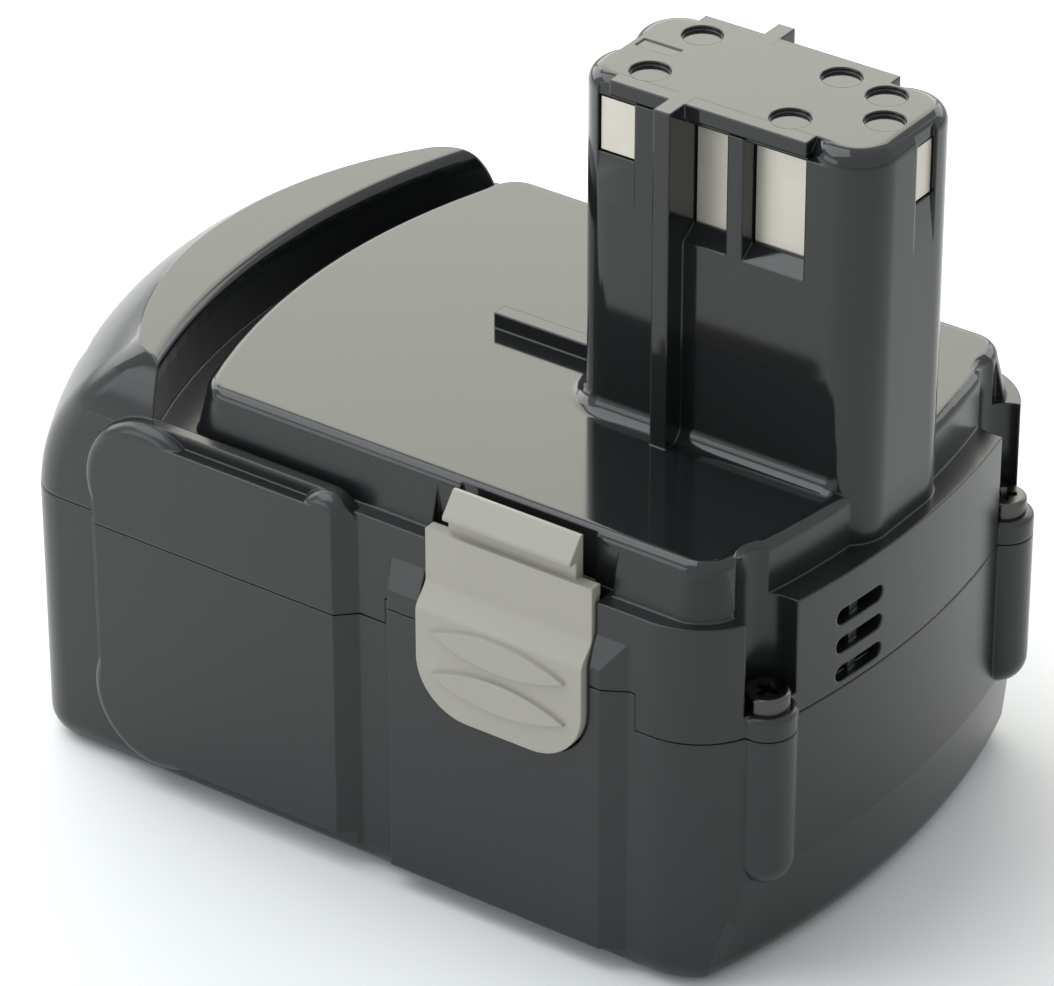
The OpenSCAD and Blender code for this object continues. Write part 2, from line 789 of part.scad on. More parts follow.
module upper_cavity() {
  difference() {
    intersection() {
      linear_extrude(ledge_roof) case_plan(wall);
      translate([rear_axis, 0, 0]) rotate_extrude($fn = 128) dome_profile(wall);
    }
    latch_backing(-1);
    latch_backing(1);
    finger_recess(wall);
    screw_columns(well_r + wall);
  }
  translate([0, 0, ledge_roof - past]) linear_extrude(deck_roof - ledge_roof + past) deck_plan(wall);
  translate([0, 0, stem_floor]) linear_extrude(pack_height - stem_cap - stem_floor)
    translate([tower_rear - tower_gap, -tower_half - tower_gap])
      square([tower_front - tower_rear + 2 * tower_gap, 2 * (tower_half + tower_gap)]);
}

// Opening of one contact slot in the stem's side, with its slope, and the channel for the plate's tail

module slot_profile(low, slope, inner, outer) {
  polygon([[inner, low], [inner + contact_t + contact_gap, low], [outer + overlap, low - slope],
    [outer + past, low - slope], [outer + past, pack_height + past], [outer - slot_set, pack_height + past],
    [outer - slot_set, slot_top], [inner, slot_top]]);
}

// the channel of a plate that steps outwards at the foot of its slot
module step_channel(tower_face) {
  plate_room = contact_t + contact_gap;
  step_room = contact_t + 2 * contact_gap;
  translate([tower_face, stem_floor]) square([plate_room, short_low - stem_floor + step_room]);
  translate([tower_face, short_low]) square([flush_reach, step_room]);
}

module long_slot(edges, side) {
  length = edges[1] - edges[0];
  translate([stem_rear + edges[0], 0, 0]) mirror([0, side > 0 ? 0 : 1, 0])
    rotate([90, 0, 90]) linear_extrude(length) {
      slot_profile(slot_low, slot_slope, tower_half, stem_half);
      translate([tower_half, stem_floor]) square([contact_t + contact_gap, slot_low - stem_floor + past]);
    }
}

module short_slot(side) {
  translate([stem_rear + slot_rear[0], 0, 0]) mirror([0, side > 0 ? 0 : 1, 0])
    rotate([90, 0, 90]) linear_extrude(slot_rear[1] - slot_rear[0]) {
      slot_profile(short_low, scoop_slope, tower_half + flush_reach - contact_t, stem_half);
      step_channel(tower_half);
    }
}

module end_slot() {
  translate([0, slot_end[1], 0]) rotate([90, 0, 0]) linear_extrude(slot_end[1] - slot_end[0]) {
    slot_profile(short_low, scoop_slope, tower_front + flush_reach - contact_t, stem_front);
    step_channel(tower_front);
  }
}

module stem_marks() {
  translate([stem_rear, 0, pack_height]) {
    for (place = round_marks)
      translate([place[0], place[1], -mark_depth]) cylinder(h = past, d = mark_d);
    translate([plate_mark_x - plate_mark[0] / 2, -plate_mark[1] / 2, -plate_mark_depth])
      cube([plate_mark[0], plate_mark[1], past]);
  }
}

// three slots through the front wall, with a bar set back behind the face
module vents() {
  face_x = front_axis + sqrt(pow(front_radius, 2) - pow(vent_y, 2));
  difference() {
    for (row = [0:2])
      translate([face_x, -vent_y, vent_low + row * vent_pitch])
        rotate([90, 0, 90]) linear_extrude(4 * wall, center = true) {
          square([vent_l - vent_h, vent_h], center = true);
          for (end = [-1, 1]) translate([end * (vent_l - vent_h) / 2, 0]) circle(vent_h / 2);
        }
    translate([face_x - vent_bar_back - far, -vent_y - vent_bar / 2, 0]) cube([far, vent_bar, far]);
  }
}

module screw_wells() {
  for (side = [-1, 1])
    translate([screw_x, side * screw_y, 0]) {
      translate([0, 0, screw_seat]) cylinder(h = far, r = well_r);
      cylinder(h = far, r = screw_bore_r);
      translate([0, -well_r, screw_seat]) cube([far, 2 * well_r, far]);
    }
}

// a groove round the dome for the fingers, grown on all sides for the wall behind it
module finger_recess(grow) {
  dome_out = rear_radius - dome_radius + sqrt(pow(dome_radius, 2) - pow(recess_z - dome_start, 2));
  half = recess_l / 2 + grow;
  intersection() {
    translate([rear_axis, 0, recess_z]) rotate_extrude($fn = 128)
      translate([dome_out + recess_r - recess_depth, 0]) circle(recess_r + grow);
    translate([rear_x - past, -half, 0]) cube([-rear_x, 2 * half, far]);
  }
}

module hook_pockets() {
  for (side = [0, 1]) mirror([0, side, 0])
    translate([latch_x - hook_w / 2 - hook_side_gap, deck_half - hook_pocket, ledge_height])
      cube([hook_w + 2 * hook_side_gap, hook_pocket + past, far]);
}

// the dark line between the two mouldings
module parting_groove() {
  intersection() {
    under_parting(groove_h);
    linear_extrude(ledge_height) difference() {
      square(far, center = true);
      case_plan(groove_depth);
    }
  }
}

module upper_case() {
  color(case_black) difference() {
    upper_outer();
    upper_cavity();
    intersection() {
      under_parting(tongue_h + fit_gap);
      linear_extrude(far) case_plan(wall - tongue_t - fit_gap);
    }
    parting_groove();
    for (side = [-1, 1]) {
      latch_room(side);
      short_slot(side);
      long_slot(slot_middle, side);
      long_slot(slot_front, side);
    }
    end_slot();
    stem_marks();
    vents();
    screw_wells();
    finger_recess(0);
    hook_pockets();
  }
}

// Lower case

// the tub's outside: the same bottom edge runs along the sides and round the corners
module tub() {
  intersection() {
    union() {
      difference() {
        intersection() {
          linear_extrude(parting_latch) case_plan(0);
          along_x(far) base_profile(side_half, far, 0);
          translate([rear_axis, 0, 0]) rotate_extrude($fn = 128) base_profile(rear_radius, far, 0);
        }
        linear_extrude(far) for (side = [-1, 1]) {
          corner_wedge(front_axis, front_radius, side_half, front_corner, 1, side);
          corner_wedge(rear_axis, rear_radius, side_half, rear_corner, -1, side);
        }
      }
      at_case_corners(1) rotate_extrude() base_profile(front_corner, parting_latch, 0);
      at_case_corners(-1) rotate_extrude() base_profile(rear_corner, parting_latch, 0);
    }
    translate([front_axis, 0, 0]) rotate_extrude($fn = 128) base_profile(front_radius, far, crease_lean);
  }
}

module lower_case() {
  tongue_root = 3;
  color(case_black) difference() {
    union() {
      intersection() {
        union() {
          tub();
          panels();
          latch_pads();
          screw_bosses();
        }
        under_parting(0);
      }
      intersection() {
        translate([0, 0, parting_front - tongue_root]) linear_extrude(parting_latch) difference() {
          case_plan(wall - tongue_t);
          case_plan(wall);
        }
        under_parting(tongue_h);
      }
    }
    difference() {
      translate([0, 0, base_t]) linear_extrude(far) case_plan(wall);
      latch_backing(-1);
      latch_backing(1);
      screw_columns(boss_r);
    }
    latch_room(-1);
    latch_room(1);
    for (side = [-1, 1])
      translate([screw_x, side * screw_y, screw_seat - screw_l - past])
        cylinder(h = far, r = screw_bore_r);
  }
}

// Latches, their springs and the case screws

// a latch seen from outside, cut out of a block: straight sides and a rounded foot
module latch_outline(grow) {
  half = latch_w / 2 + grow;
  foot = latch_foot - grow;
  corner = plate_round + grow;
  rotate([90, 0, 0]) linear_extrude(far, center = true) {
    translate([-half, foot + corner]) square([2 * half, shelf_top - foot - corner]);
    translate([corner - half, foot]) square([2 * (half - corner), shelf_top - foot]);
    for (end = [-1, 1]) translate([end * (half - corner), foot + corner]) circle(corner);
  }
}

// section across a latch: the band above, the bend and the thumb plate, from the back face outwards
module latch_profile(thickness) {
  thumb_back = thumb_face - latch_t;
  half_step = (thumb_back - band_back) / 2;
  bend = [for (step = [0:bend_steps]) let (share = step / bend_steps)
    [-band_back - half_step * (1 - cos(180 * share)), bend_top - bend_h * share]];
  outer_bend = [for (step = [bend_steps:-1:0]) bend[step] - [thickness, 0]];
  polygon(concat([[-band_back, shelf_top]], bend, [[-thumb_back, 0], [-thumb_back - thickness, 0]],
    outer_bend, [[-band_back - thickness, shelf_top]]));
}

// outline of a raised grip: the lens between two arcs
module grip_outline() {
  radius = (pow(grip_l, 2) + pow(grip_h, 2)) / (4 * grip_h);
  intersection() {
    translate([0, radius - grip_h / 2]) circle(radius, $fn = 128);
    translate([0, grip_h / 2 - radius]) circle(radius, $fn = 128);
  }
}

// the latch of the left side, facing -Y
module latch() {
  catch_y = catch_gap - pocket_inner;
  translate([latch_x, 0, 0]) {
    intersection() {
      latch_outline(0);
      rotate([90, 0, 90]) linear_extrude(far, center = true) latch_profile(latch_t);
    }
    translate([-latch_w / 2, -band_face, shelf_low])
      cube([latch_w, band_face - shelf_inner, shelf_top - shelf_low]);
    rotate([90, 0, 90]) linear_extrude(hook_w, center = true)
      polygon([[-hook_inner, shelf_low], [-hook_inner, hook_top], [-hook_inner - nose_t, hook_top],
        [-hook_inner - hook_t - hook_nose, hook_top - nose_h],
        [-hook_inner - hook_t - hook_nose, hook_top - nose_h - nose_t],
        [-hook_inner - hook_t, hook_top - nose_h - nose_t], [-hook_inner - hook_t, shelf_low]]);
    for (x = [-1, 1])
      translate([x * guide_tongue_x - guide_tongue_w / 2, 0, spring_z - guide_tongue_h / 2]) {
        translate([0, -band_back - overlap, 0])
          cube([guide_tongue_w, band_back + overlap + catch_y + catch_t, guide_tongue_h]);
        translate([0, catch_y, 0]) cube([guide_tongue_w + guide_catch, catch_t, guide_tongue_h]);
      }
    translate([0, spring_pin_l - band_back, spring_z]) rotate([90, 0, 0])
      cylinder(h = spring_pin_l + overlap, r = spring_d / 2 - spring_wire - latch_gap);
    for (row = [0, 1])
      translate([0, latch_t / 2 - thumb_face, grip_z + grip_pitch * (0.5 - row)])
        rotate([90, 0, 0]) linear_extrude(latch_t / 2 + grip_proud) grip_outline();
  }
}

module latch_left() {
  color(latch_beige) latch();
}

module latch_right() {
  color(latch_beige) mirror([0, 1, 0]) latch();
}

// A wire wound along Y: rings of six points on a helix

spring_rings = 8 * spring_turns;
function spring_ring(index) =
  let (turn = 360 * index / 8, run = spring_l - 2 * spring_wire,
    radius = (spring_d - spring_wire) / 2, along = spring_wire + run * index / spring_rings)
  [for (corner = [0:5]) let (reach = radius + spring_wire / 2 * cos(60 * corner))
    [reach * cos(turn), along + spring_wire / 2 * sin(60 * corner), reach * sin(turn)]];
spring_points = [for (index = [0:spring_rings]) each spring_ring(index)];
spring_gap = min([for (index = [0:spring_rings - 8], this = [0:5], next = [0:5])
  norm(spring_points[6 * index + this] - spring_points[6 * (index + 8) + next])]);
echo(spring_least_gap = spring_gap);

module latch_spring() {
  last = 6 * spring_rings;
  faces = concat(
    [for (index = [0:spring_rings - 1], corner = [0:5]) let (next = (corner + 1) % 6)
      [6 * index + corner, 6 * index + next, 6 * index + 6 + next]],
    [for (index = [0:spring_rings - 1], corner = [0:5]) let (next = (corner + 1) % 6)
      [6 * index + corner, 6 * index + 6 + next, 6 * index + 6 + corner]],
    [for (corner = [1:4]) [0, corner + 1, corner]],
    [for (corner = [1:4]) [last, last + corner, last + corner + 1]]);
  translate([latch_x, spring_y, spring_z]) polyhedron(spring_points, faces);
}

module latch_spring_left() {
  color(steel) mirror([0, 1, 0]) latch_spring();
}

module latch_spring_right() {
  color(steel) latch_spring();
}

module case_screws() {
  color(steel)
    for (side = [-1, 1])
      translate([screw_x, side * screw_y, screw_seat]) difference() {
        union() {
          intersection() {
            cylinder(h = screw_head_h, d = screw_head_d);
            translate([0, 0, screw_head_h - head_curve]) sphere(head_curve);
          }
          translate([0, 0, -screw_l]) cylinder(h = screw_l + overlap, d = screw_d);
        }
        for (turn = [0, 90]) rotate([0, 0, turn + cross_turn])
          translate([-screw_head_d / 4, -cross_w / 2, screw_head_h - cross_depth])
            cube([screw_head_d / 2, cross_w, cross_depth + past]);
      }
}

// Cells, their rings and their holders

module cell_place(column, layer) {
  translate([column_x(column), 0, layer_z(layer)])
    rotate([points_right(column) ? -90 : 90, 0, 0]) children();
}

// a cell stands on its negative end, centred on its length
module cell(column, layer) {
  radius = cell_d / 2;
  foot = -cell_l / 2;
  can_top = cell_l / 2 - button_h;
  crimp = 0.6;
  crimp_top = can_top - 2.6;
  button_step = 0.3;
  color(cell_green) cell_place(column, layer) rotate_extrude()
    polygon([[0, foot], [radius - crimp, foot], [radius, foot + crimp], [radius, crimp_top - 3 * crimp],
      [radius - crimp, crimp_top - 2 * crimp], [radius - crimp, crimp_top - crimp], [radius, crimp_top],
      [radius, can_top - crimp], [radius - crimp, can_top], [button_d / 2 + button_step, can_top],
      [button_d / 2, can_top + button_step], [button_d / 2, can_top + button_h], [0, can_top + button_h]]);
}

module cell_rings() {
  can_top = cell_l / 2 - button_h;
  ring_t = 0.3;
  ring_edge = 1;
  button_room = 0.6;
  color(holder_white)
    for (column = [0:cells_per_layer - 1], layer = [0, 1])
      cell_place(column, layer) translate([0, 0, can_top]) difference() {
        cylinder(h = ring_t, d = cell_d - 2 * ring_edge);
        translate([0, 0, -past]) cylinder(h = ring_t + 2 * past, d = button_d + 2 * button_room);
      }
}

// the holder of the left side
module cell_holder() {
  pin_rise = 0.6;
  difference() {
    union() {
      translate([-holder_half_l, -holder_outer, holder_low])
        cube([2 * holder_half_l, holder_depth, holder_top - holder_low]);
      for (x = post_x) {
        translate([x, -post_y, holder_top - past]) cylinder(h = board_post + past, d = board_post_d);
        translate([x, -post_y, holder_top])
          cylinder(h = board_post + board_t + pin_rise, d = board_post_d / 2);
      }
    }
    for (column = [0:cells_per_layer - 1], layer = [0, 1])
      translate([column_x(column), 0, layer_z(layer)]) rotate([90, 0, 0])
        cylinder(h = cell_l + 2 * past, r = cell_bore_r, center = true);
  }
}

module cell_holder_left() {
  color(holder_white) cell_holder();
}

module cell_holder_right() {
  color(holder_white) mirror([0, 1, 0]) cell_holder();
}

// A tab over a run of columns on one side; its tail folds over the holder and onto the board

module tab(columns, side, rise_x, tail_x) {
  first = column_x(columns[0]);
  last = column_x(columns[len(columns) - 1]);
  plate_end = 4;
  weld_slot = [0.8, 6];
  lane_y = board_w / 2 + 2 * sheet_gap;
  color(nickel) mirror([0, side > 0 ? 0 : 1, 0]) difference() {
    union() {
      for (column = columns)
        translate([column_x(column) - tab_w / 2, tab_y, layer_1_z - plate_end])
          cube([tab_w, tab_t, cell_pitch + 2 * plate_end]);
      translate([first - tab_w / 2, tab_y, (layer_1_z + layer_2_z - tab_w) / 2])
        cube([last - first + tab_w, tab_t, tab_w]);
      translate([rise_x - tail_w / 2, tab_y, layer_1_z])
        cube([tail_w, tab_t, tab_fold_z + tab_t - layer_1_z]);
      translate([rise_x - tail_w / 2, lane_y, tab_fold_z])
        cube([tail_w, tab_y + tab_t - lane_y, tab_t]);
      translate([min(rise_x, tail_x) - tail_w / 2, lane_y, tab_fold_z])
        cube([abs(tail_x - rise_x) + tail_w, tail_w, tab_t]);
      translate([tail_x - tail_w / 2, lane_y, tab_fold_z])
        cube([tail_w, tab_t, board_top + tab_t - tab_fold_z]);
      translate([tail_x - tail_w / 2, board_w / 2 - tail_land, board_top])
        cube([tail_w, lane_y + tab_t - board_w / 2 + tail_land, tab_t]);
    }
    for (column = columns, layer = [0, 1])
      translate([column_x(column) - weld_slot[0] / 2, tab_y - past, layer_z(layer) - weld_slot[1] / 2])
        cube([weld_slot[0], tab_t + 2 * past, weld_slot[1]]);
  }
}

module tab_negative() {
  tab([0], -1, column_x(0), board_rear + board_l / 7);
}

module tab_link_1() {
  tab([0, 1], 1, column_x(1.15), column_x(1.15));
}

module tab_link_2() {
  tab([1, 2], -1, column_x(1.5), column_x(1.5));
}

module tab_link_3() {
  tab([2, 3], 1, column_x(2.5), column_x(2.5));
}

module tab_link_4() {
  tab([3, 4], -1, column_x(4.2), board_front - tail_w);
}

module tab_positive() {
  tab([4], 1, column_x(4.2), board_front - tail_w);
}

module insulator() {
  end_gap = 2;
  translate([end_gap - holder_half_l, sheet_y, holder_low])
    cube([2 * (holder_half_l - end_gap), sheet_t, holder_top - holder_low]);
}

module insulator_left() {
  color([0.75, 0.70, 0.55]) mirror([0, 1, 0]) insulator();
}

module insulator_right() {
  color([0.75, 0.70, 0.55]) insulator();
}

module foam_pad() {
  color([0.20, 0.20, 0.20]) translate([-holder_half_l, -holder_outer, foam_z])
    cube([2 * holder_half_l, 2 * holder_outer, foam_t]);
}

// Control board and what is soldered to it

module control_board() {
  color(board_green) difference() {
    translate([board_rear, -board_w / 2, board_z]) cube([board_l, board_w, board_t]);
    for (x = post_x, side = [-1, 1])
      translate([x, side * post_y, board_z - past])
        cylinder(h = board_t + 2 * past, d = board_post_d / 2 + cell_gap);
  }
}

module control_chip() {
  pins = 3;
  pin_w = 0.4;
  pin_h = 0.5;
  pin_l = 1.1;
  lift = 0.2;
  color([0.10, 0.10, 0.11]) translate(board_place(chip_place)) {
    translate([-chip_w / 2, -chip_w / 2, lift]) cube([chip_w, chip_w, chip_h]);
    for (turn = [0, 90, 180, 270], pin = [-pins:pins]) rotate([0, 0, turn])
      translate([chip_w / 2 - overlap, pin * chip_w / (2 * pins + 2) - pin_w / 2, 0])
        cube([pin_l, pin_w, pin_h]);
  }
}

module power_transistors() {
  half = transistor_w / 2;
  lead_t = 0.6;
  lead_w = 0.8;
  lead_l = 2.2;
  color([0.12, 0.12, 0.13])
    for (place = transistor_places)
      translate(board_place(place)) {
        translate([-half, -half, 0]) cube([transistor_w, transistor_w, transistor_h]);
        translate([-half - lead_l, lead_w - half, 0])
          cube([lead_l + overlap, transistor_w - 2 * lead_w, lead_t]);
        for (lead = [-1, 1])
          translate([half - overlap, lead * (half - lead_w) - lead_w / 2, 0])
            cube([lead_l + overlap, lead_w, lead_t]);
      }
}

module shunt() {
  foot_t = 0.8;
  bridge_t = 1;
  color([0.45, 0.36, 0.28]) translate(board_place(shunt_place)) translate([-shunt_l / 2, -shunt_w / 2, 0]) {
    cube([shunt_l, shunt_w, foot_t]);
    translate([shunt_l / 5, 0, foot_t / 2]) cube([shunt_l * 3 / 5, shunt_w, bridge_t]);
  }
}

module capacitor() {
  radius = capacitor_d / 2;
  waist = 0.3;
  waist_z = capacitor_h / 4;
  color([0.16, 0.18, 0.24]) translate(board_place(capacitor_place)) rotate_extrude()
    polygon([[0, 0], [radius, 0], [radius, waist_z - waist], [radius - waist, waist_z],
      [radius, waist_z + waist], [radius, capacitor_h - waist], [radius - waist, capacitor_h],
      [0, capacitor_h]]);
}

module thermistor() {
  bead = 1.6;
  lead_d = 0.6;
  bead_z = layer_2_z + cell_d / 2 + bead + sheet_gap;
  color([0.15, 0.13, 0.12]) translate([column_x(1), 0, bead_z]) {
    sphere(bead);
    for (lead = [-1, 1])
      translate([lead * bead / 2, 0, 0]) cylinder(h = board_z - bead_z, d = lead_d, $fn = 24);
  }
}

// Terminal tower and the contact plates on its faces

module terminal_tower() {
  core = [3, 2.4];
  head = 8;
  length = tower_front - tower_rear;
  height = pack_height - stem_cap - tower_gap - board_top;
  color([0.30, 0.30, 0.31]) difference() {
    translate([tower_rear, -tower_half, board_top]) cube([length, 2 * tower_half, height]);
    translate([tower_rear + core[0], core[1] - tower_half, board_top - past])
      cube([length - 2 * core[0], 2 * (tower_half - core[1]), height - head + past]);
  }
}

module long_contact(edges, side) {
  color(nickel) mirror([0, side > 0 ? 0 : 1, 0])
    translate([stem_rear + edges[0] + contact_gap, tower_half, board_top])
      cube([edges[1] - edges[0] - 2 * contact_gap, contact_t, slot_top - contact_gap - board_top]);
}

// section of a plate that steps outwards at the foot of its slot, from the tower's face
module step_profile() {
  low = short_low + contact_gap;
  top = slot_top - contact_gap;
  polygon([[0, board_top], [contact_t, board_top], [contact_t, low], [flush_reach, low], [flush_reach, top],
    [flush_reach - contact_t, top], [flush_reach - contact_t, low + contact_t], [0, low + contact_t]]);
}

module short_contact(side) {
  color(nickel) mirror([0, side > 0 ? 0 : 1, 0])
    translate([stem_rear + slot_rear[0] + contact_gap, tower_half, 0])
      rotate([90, 0, 90]) linear_extrude(slot_rear[1] - slot_rear[0] - 2 * contact_gap) step_profile();
}

module contact_left_rear() {
  short_contact(-1);
}

module contact_left_middle() {
  long_contact(slot_middle, -1);
}

module contact_left_front() {
  long_contact(slot_front, -1);
}

module contact_right_rear() {
  short_contact(1);
}

module contact_right_middle() {
  long_contact(slot_middle, 1);
}

module contact_right_front() {
  long_contact(slot_front, 1);
}

module contact_end() {
  color(nickel) translate([tower_front, slot_end[1] - contact_gap, 0])
    rotate([90, 0, 0]) linear_extrude(slot_end[1] - slot_end[0] - 2 * contact_gap) step_profile();
}

upper_case();
lower_case();
latch_left();
latch_right();
latch_spring_left();
latch_spring_right();
case_screws();
cell(0, 0);  // cell_1
cell(1, 0);  // cell_2
cell(2, 0);  // cell_3
cell(3, 0);  // cell_4
cell(4, 0);  // cell_5
cell(0, 1);  // cell_6
cell(1, 1);  // cell_7
cell(2, 1);  // cell_8
cell(3, 1);  // cell_9
cell(4, 1);  // cell_10
cell_rings();
cell_holder_left();
cell_holder_right();
tab_negative();
tab_link_1();
tab_link_2();
tab_link_3();
tab_link_4();
tab_positive();
insulator_left();
insulator_right();
foam_pad();
control_board();
control_chip();
power_transistors();
shunt();
capacitor();
thermistor();
terminal_tower();
contact_left_rear();
contact_left_middle();
contact_left_front();
contact_right_rear();
contact_right_middle();
contact_right_front();
contact_end();
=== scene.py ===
import json
import math
import bmesh
import bpy
from mathutils import Matrix, Vector


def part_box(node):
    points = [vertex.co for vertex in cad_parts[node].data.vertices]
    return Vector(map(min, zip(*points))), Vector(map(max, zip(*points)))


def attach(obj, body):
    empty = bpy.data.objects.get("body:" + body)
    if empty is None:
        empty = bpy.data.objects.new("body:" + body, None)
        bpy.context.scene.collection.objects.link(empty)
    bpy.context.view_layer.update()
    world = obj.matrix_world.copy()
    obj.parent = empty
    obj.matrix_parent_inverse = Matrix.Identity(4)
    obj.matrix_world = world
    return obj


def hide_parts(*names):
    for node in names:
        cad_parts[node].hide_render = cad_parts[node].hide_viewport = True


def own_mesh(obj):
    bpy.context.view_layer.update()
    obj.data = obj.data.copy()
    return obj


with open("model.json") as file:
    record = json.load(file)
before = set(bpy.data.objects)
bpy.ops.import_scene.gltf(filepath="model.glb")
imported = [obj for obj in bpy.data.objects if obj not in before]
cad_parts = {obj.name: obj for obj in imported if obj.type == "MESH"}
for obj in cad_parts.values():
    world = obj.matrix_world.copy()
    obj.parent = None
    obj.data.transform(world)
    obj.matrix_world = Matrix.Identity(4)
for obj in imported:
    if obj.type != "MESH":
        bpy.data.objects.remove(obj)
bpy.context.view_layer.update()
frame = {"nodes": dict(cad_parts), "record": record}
nodes = frame["nodes"]
bodyOf = {node: body for body, group in frame["record"]["behaviour"]["bodies"].items() for node in group}
slotOf = {piece["node"]: piece["material_slot"] for piece in frame["record"]["subparts"]}
mm = 0.001
print("frame loaded with", len(nodes), "nodes")


def newGroup(name, inputs, outputs):
    group = bpy.data.node_groups.new(name, "ShaderNodeTree")
    for label, kind, value in inputs:
        socket = group.interface.new_socket(label, in_out="INPUT", socket_type=kind)
        socket.default_value = value
    for label, kind in outputs:
        group.interface.new_socket(label, in_out="OUTPUT", socket_type=kind)
    return group, group.nodes.new("NodeGroupInput"), group.nodes.new("NodeGroupOutput")


def add(tree, kind, links=None, values=None, **settings):
    node = tree.nodes.new(kind)
    for key, value in settings.items():
        setattr(node, key, value)
    for socket, value in (values or {}).items():
        node.inputs[socket].default_value = value
    for socket, source in (links or {}).items():
        tree.links.new(source, node.inputs[socket])
    return node


def makeMouldGrain():
    group, source, sink = newGroup(
        "mouldGrain",
        [("Grain", "NodeSocketFloat", 4200.0), ("Ripple", "NodeSocketFloat", 60.0)],
        [("Height", "NodeSocketFloat"), ("Mottle", "NodeSocketFloat")])
    point = add(group, "ShaderNodeTexCoord").outputs["Object"]
    fine = add(group, "ShaderNodeTexNoise", {"Vector": point, "Scale": source.outputs["Grain"]}, {"Detail": 3})
    slow = add(group, "ShaderNodeTexNoise", {"Vector": point, "Scale": source.outputs["Ripple"]}, {"Detail": 2})
    group.links.new(fine.outputs["Fac"], sink.inputs["Height"])
    group.links.new(slow.outputs["Fac"], sink.inputs["Mottle"])
    return group


def makeBrushed():
    group, source, sink = newGroup(
        "brushedStreaks",
        [("Stretch", "NodeSocketVector", (1800.0, 1800.0, 60.0))],
        [("Height", "NodeSocketFloat"), ("Tarnish", "NodeSocketFloat")])
    place = add(group, "ShaderNodeTexCoord")
    stretch = add(group, "ShaderNodeVectorMath", {0: place.outputs["Object"], 1: source.outputs["Stretch"]},
                  operation="MULTIPLY")
    streaks = add(group, "ShaderNodeTexNoise", {"Vector": stretch.outputs["Vector"]}, {"Scale": 1, "Detail": 4})
    cloud = add(group, "ShaderNodeTexNoise", {"Vector": place.outputs["Object"]}, {"Scale": 220})
    group.links.new(streaks.outputs["Fac"], sink.inputs["Height"])
    group.links.new(cloud.outputs["Fac"], sink.inputs["Tarnish"])
    return group


def makeBoxMask():  # 1 inside a box, 0 outside
    group, source, sink = newGroup(
        "boxMask",
        [("Point", "NodeSocketVector", (0.0, 0.0, 0.0)), ("Centre", "NodeSocketVector", (0.0, 0.0, 0.0)),
         ("Half", "NodeSocketVector", (1.0, 1.0, 1.0))],
        [("Mask", "NodeSocketFloat")])
    away = add(group, "ShaderNodeVectorMath", {0: source.outputs["Point"], 1: source.outputs["Centre"]},
               operation="SUBTRACT")
    share = add(group, "ShaderNodeVectorMath", {0: away.outputs[0], 1: source.outputs["Half"]},
                operation="DIVIDE")
    size = add(group, "ShaderNodeVectorMath", {0: share.outputs[0]}, operation="ABSOLUTE")
    parts = add(group, "ShaderNodeSeparateXYZ", {0: size.outputs[0]})
    wide = add(group, "ShaderNodeMath", {0: parts.outputs["X"], 1: parts.outputs["Y"]}, operation="MAXIMUM")
    most = add(group, "ShaderNodeMath", {0: wide.outputs[0], 1: parts.outputs["Z"]}, operation="MAXIMUM")
    inside = add(group, "ShaderNodeMath", {0: most.outputs[0]}, {1: 1.0}, operation="LESS_THAN")
    group.links.new(inside.outputs[0], sink.inputs["Mask"])
    return group


mouldGrain = makeMouldGrain()
boxMask = makeBoxMask()
brushedStreaks = makeBrushed()


def newMaterial(name, color, roughness, metallic=0.0):
    material = bpy.data.materials.new(name)
    material.use_nodes = True
    material.diffuse_color = (*color, 1)
    shader = material.node_tree.nodes["Principled BSDF"]
    shader.inputs["Base Color"].default_value = (*color, 1)
    shader.inputs["Roughness"].default_value = roughness
    shader.inputs["Metallic"].default_value = metallic
    return material, material.node_tree, shader


def grainOn(tree, grain, ripple):
    group = add(tree, "ShaderNodeGroup", node_tree=mouldGrain)
    group.inputs["Grain"].default_value = grain
    group.inputs["Ripple"].default_value = ripple
    return group


def spread(tree, value, low, high):
    return add(tree, "ShaderNodeMapRange", {"Value": value}, {3: low, 4: high}).outputs["Result"]


def larger(tree, first, second):
    return add(tree, "ShaderNodeMath", {0: first, 1: second}, operation="MAXIMUM").outputs[0]


def blendColors(tree, mask, first, second):
    mix = add(tree, "ShaderNodeMix", {0: mask}, data_type="RGBA")
    for index, choice in ((6, first), (7, second)):
        if isinstance(choice, tuple):
            mix.inputs[index].default_value = (*choice, 1)
        else:
            tree.links.new(choice, mix.inputs[index])
    return mix.outputs[2]


plasticFinish = {"ripple": 70.0, "roughSpread": 0.15, "bump": 0.25, "samples": 6}


def mouldedPlastic(look):  # grain, slight mottling and softened edges
    finish = plasticFinish
    color, roughness, shade = look["color"], look["roughness"], look["shade"]
    material, tree, shader = newMaterial(look["name"], color, roughness)
    group = grainOn(tree, look["grain"], finish["ripple"])
    mottle = group.outputs["Mottle"]
    darker = tuple(c * (1 - shade) for c in color)
    lighter = tuple(min(1, c * (1 + shade)) for c in color)
    tree.links.new(blendColors(tree, mottle, darker, lighter), shader.inputs["Base Color"])
    low, high = roughness * (1 - finish["roughSpread"]), roughness * (1 + finish["roughSpread"])
    tree.links.new(spread(tree, mottle, low, high), shader.inputs["Roughness"])
    bump = add(tree, "ShaderNodeBump", {"Height": group.outputs["Height"]})
    bump.inputs["Strength"].default_value = finish["bump"]
    bump.inputs["Distance"].default_value = look["depth"] * mm
    if look["edge"]:
        soft = add(tree, "ShaderNodeBevel", samples=finish["samples"])
        soft.inputs["Radius"].default_value = look["edge"] * mm
        tree.links.new(soft.outputs["Normal"], bump.inputs["Normal"])
    tree.links.new(bump.outputs["Normal"], shader.inputs["Normal"])
    return material


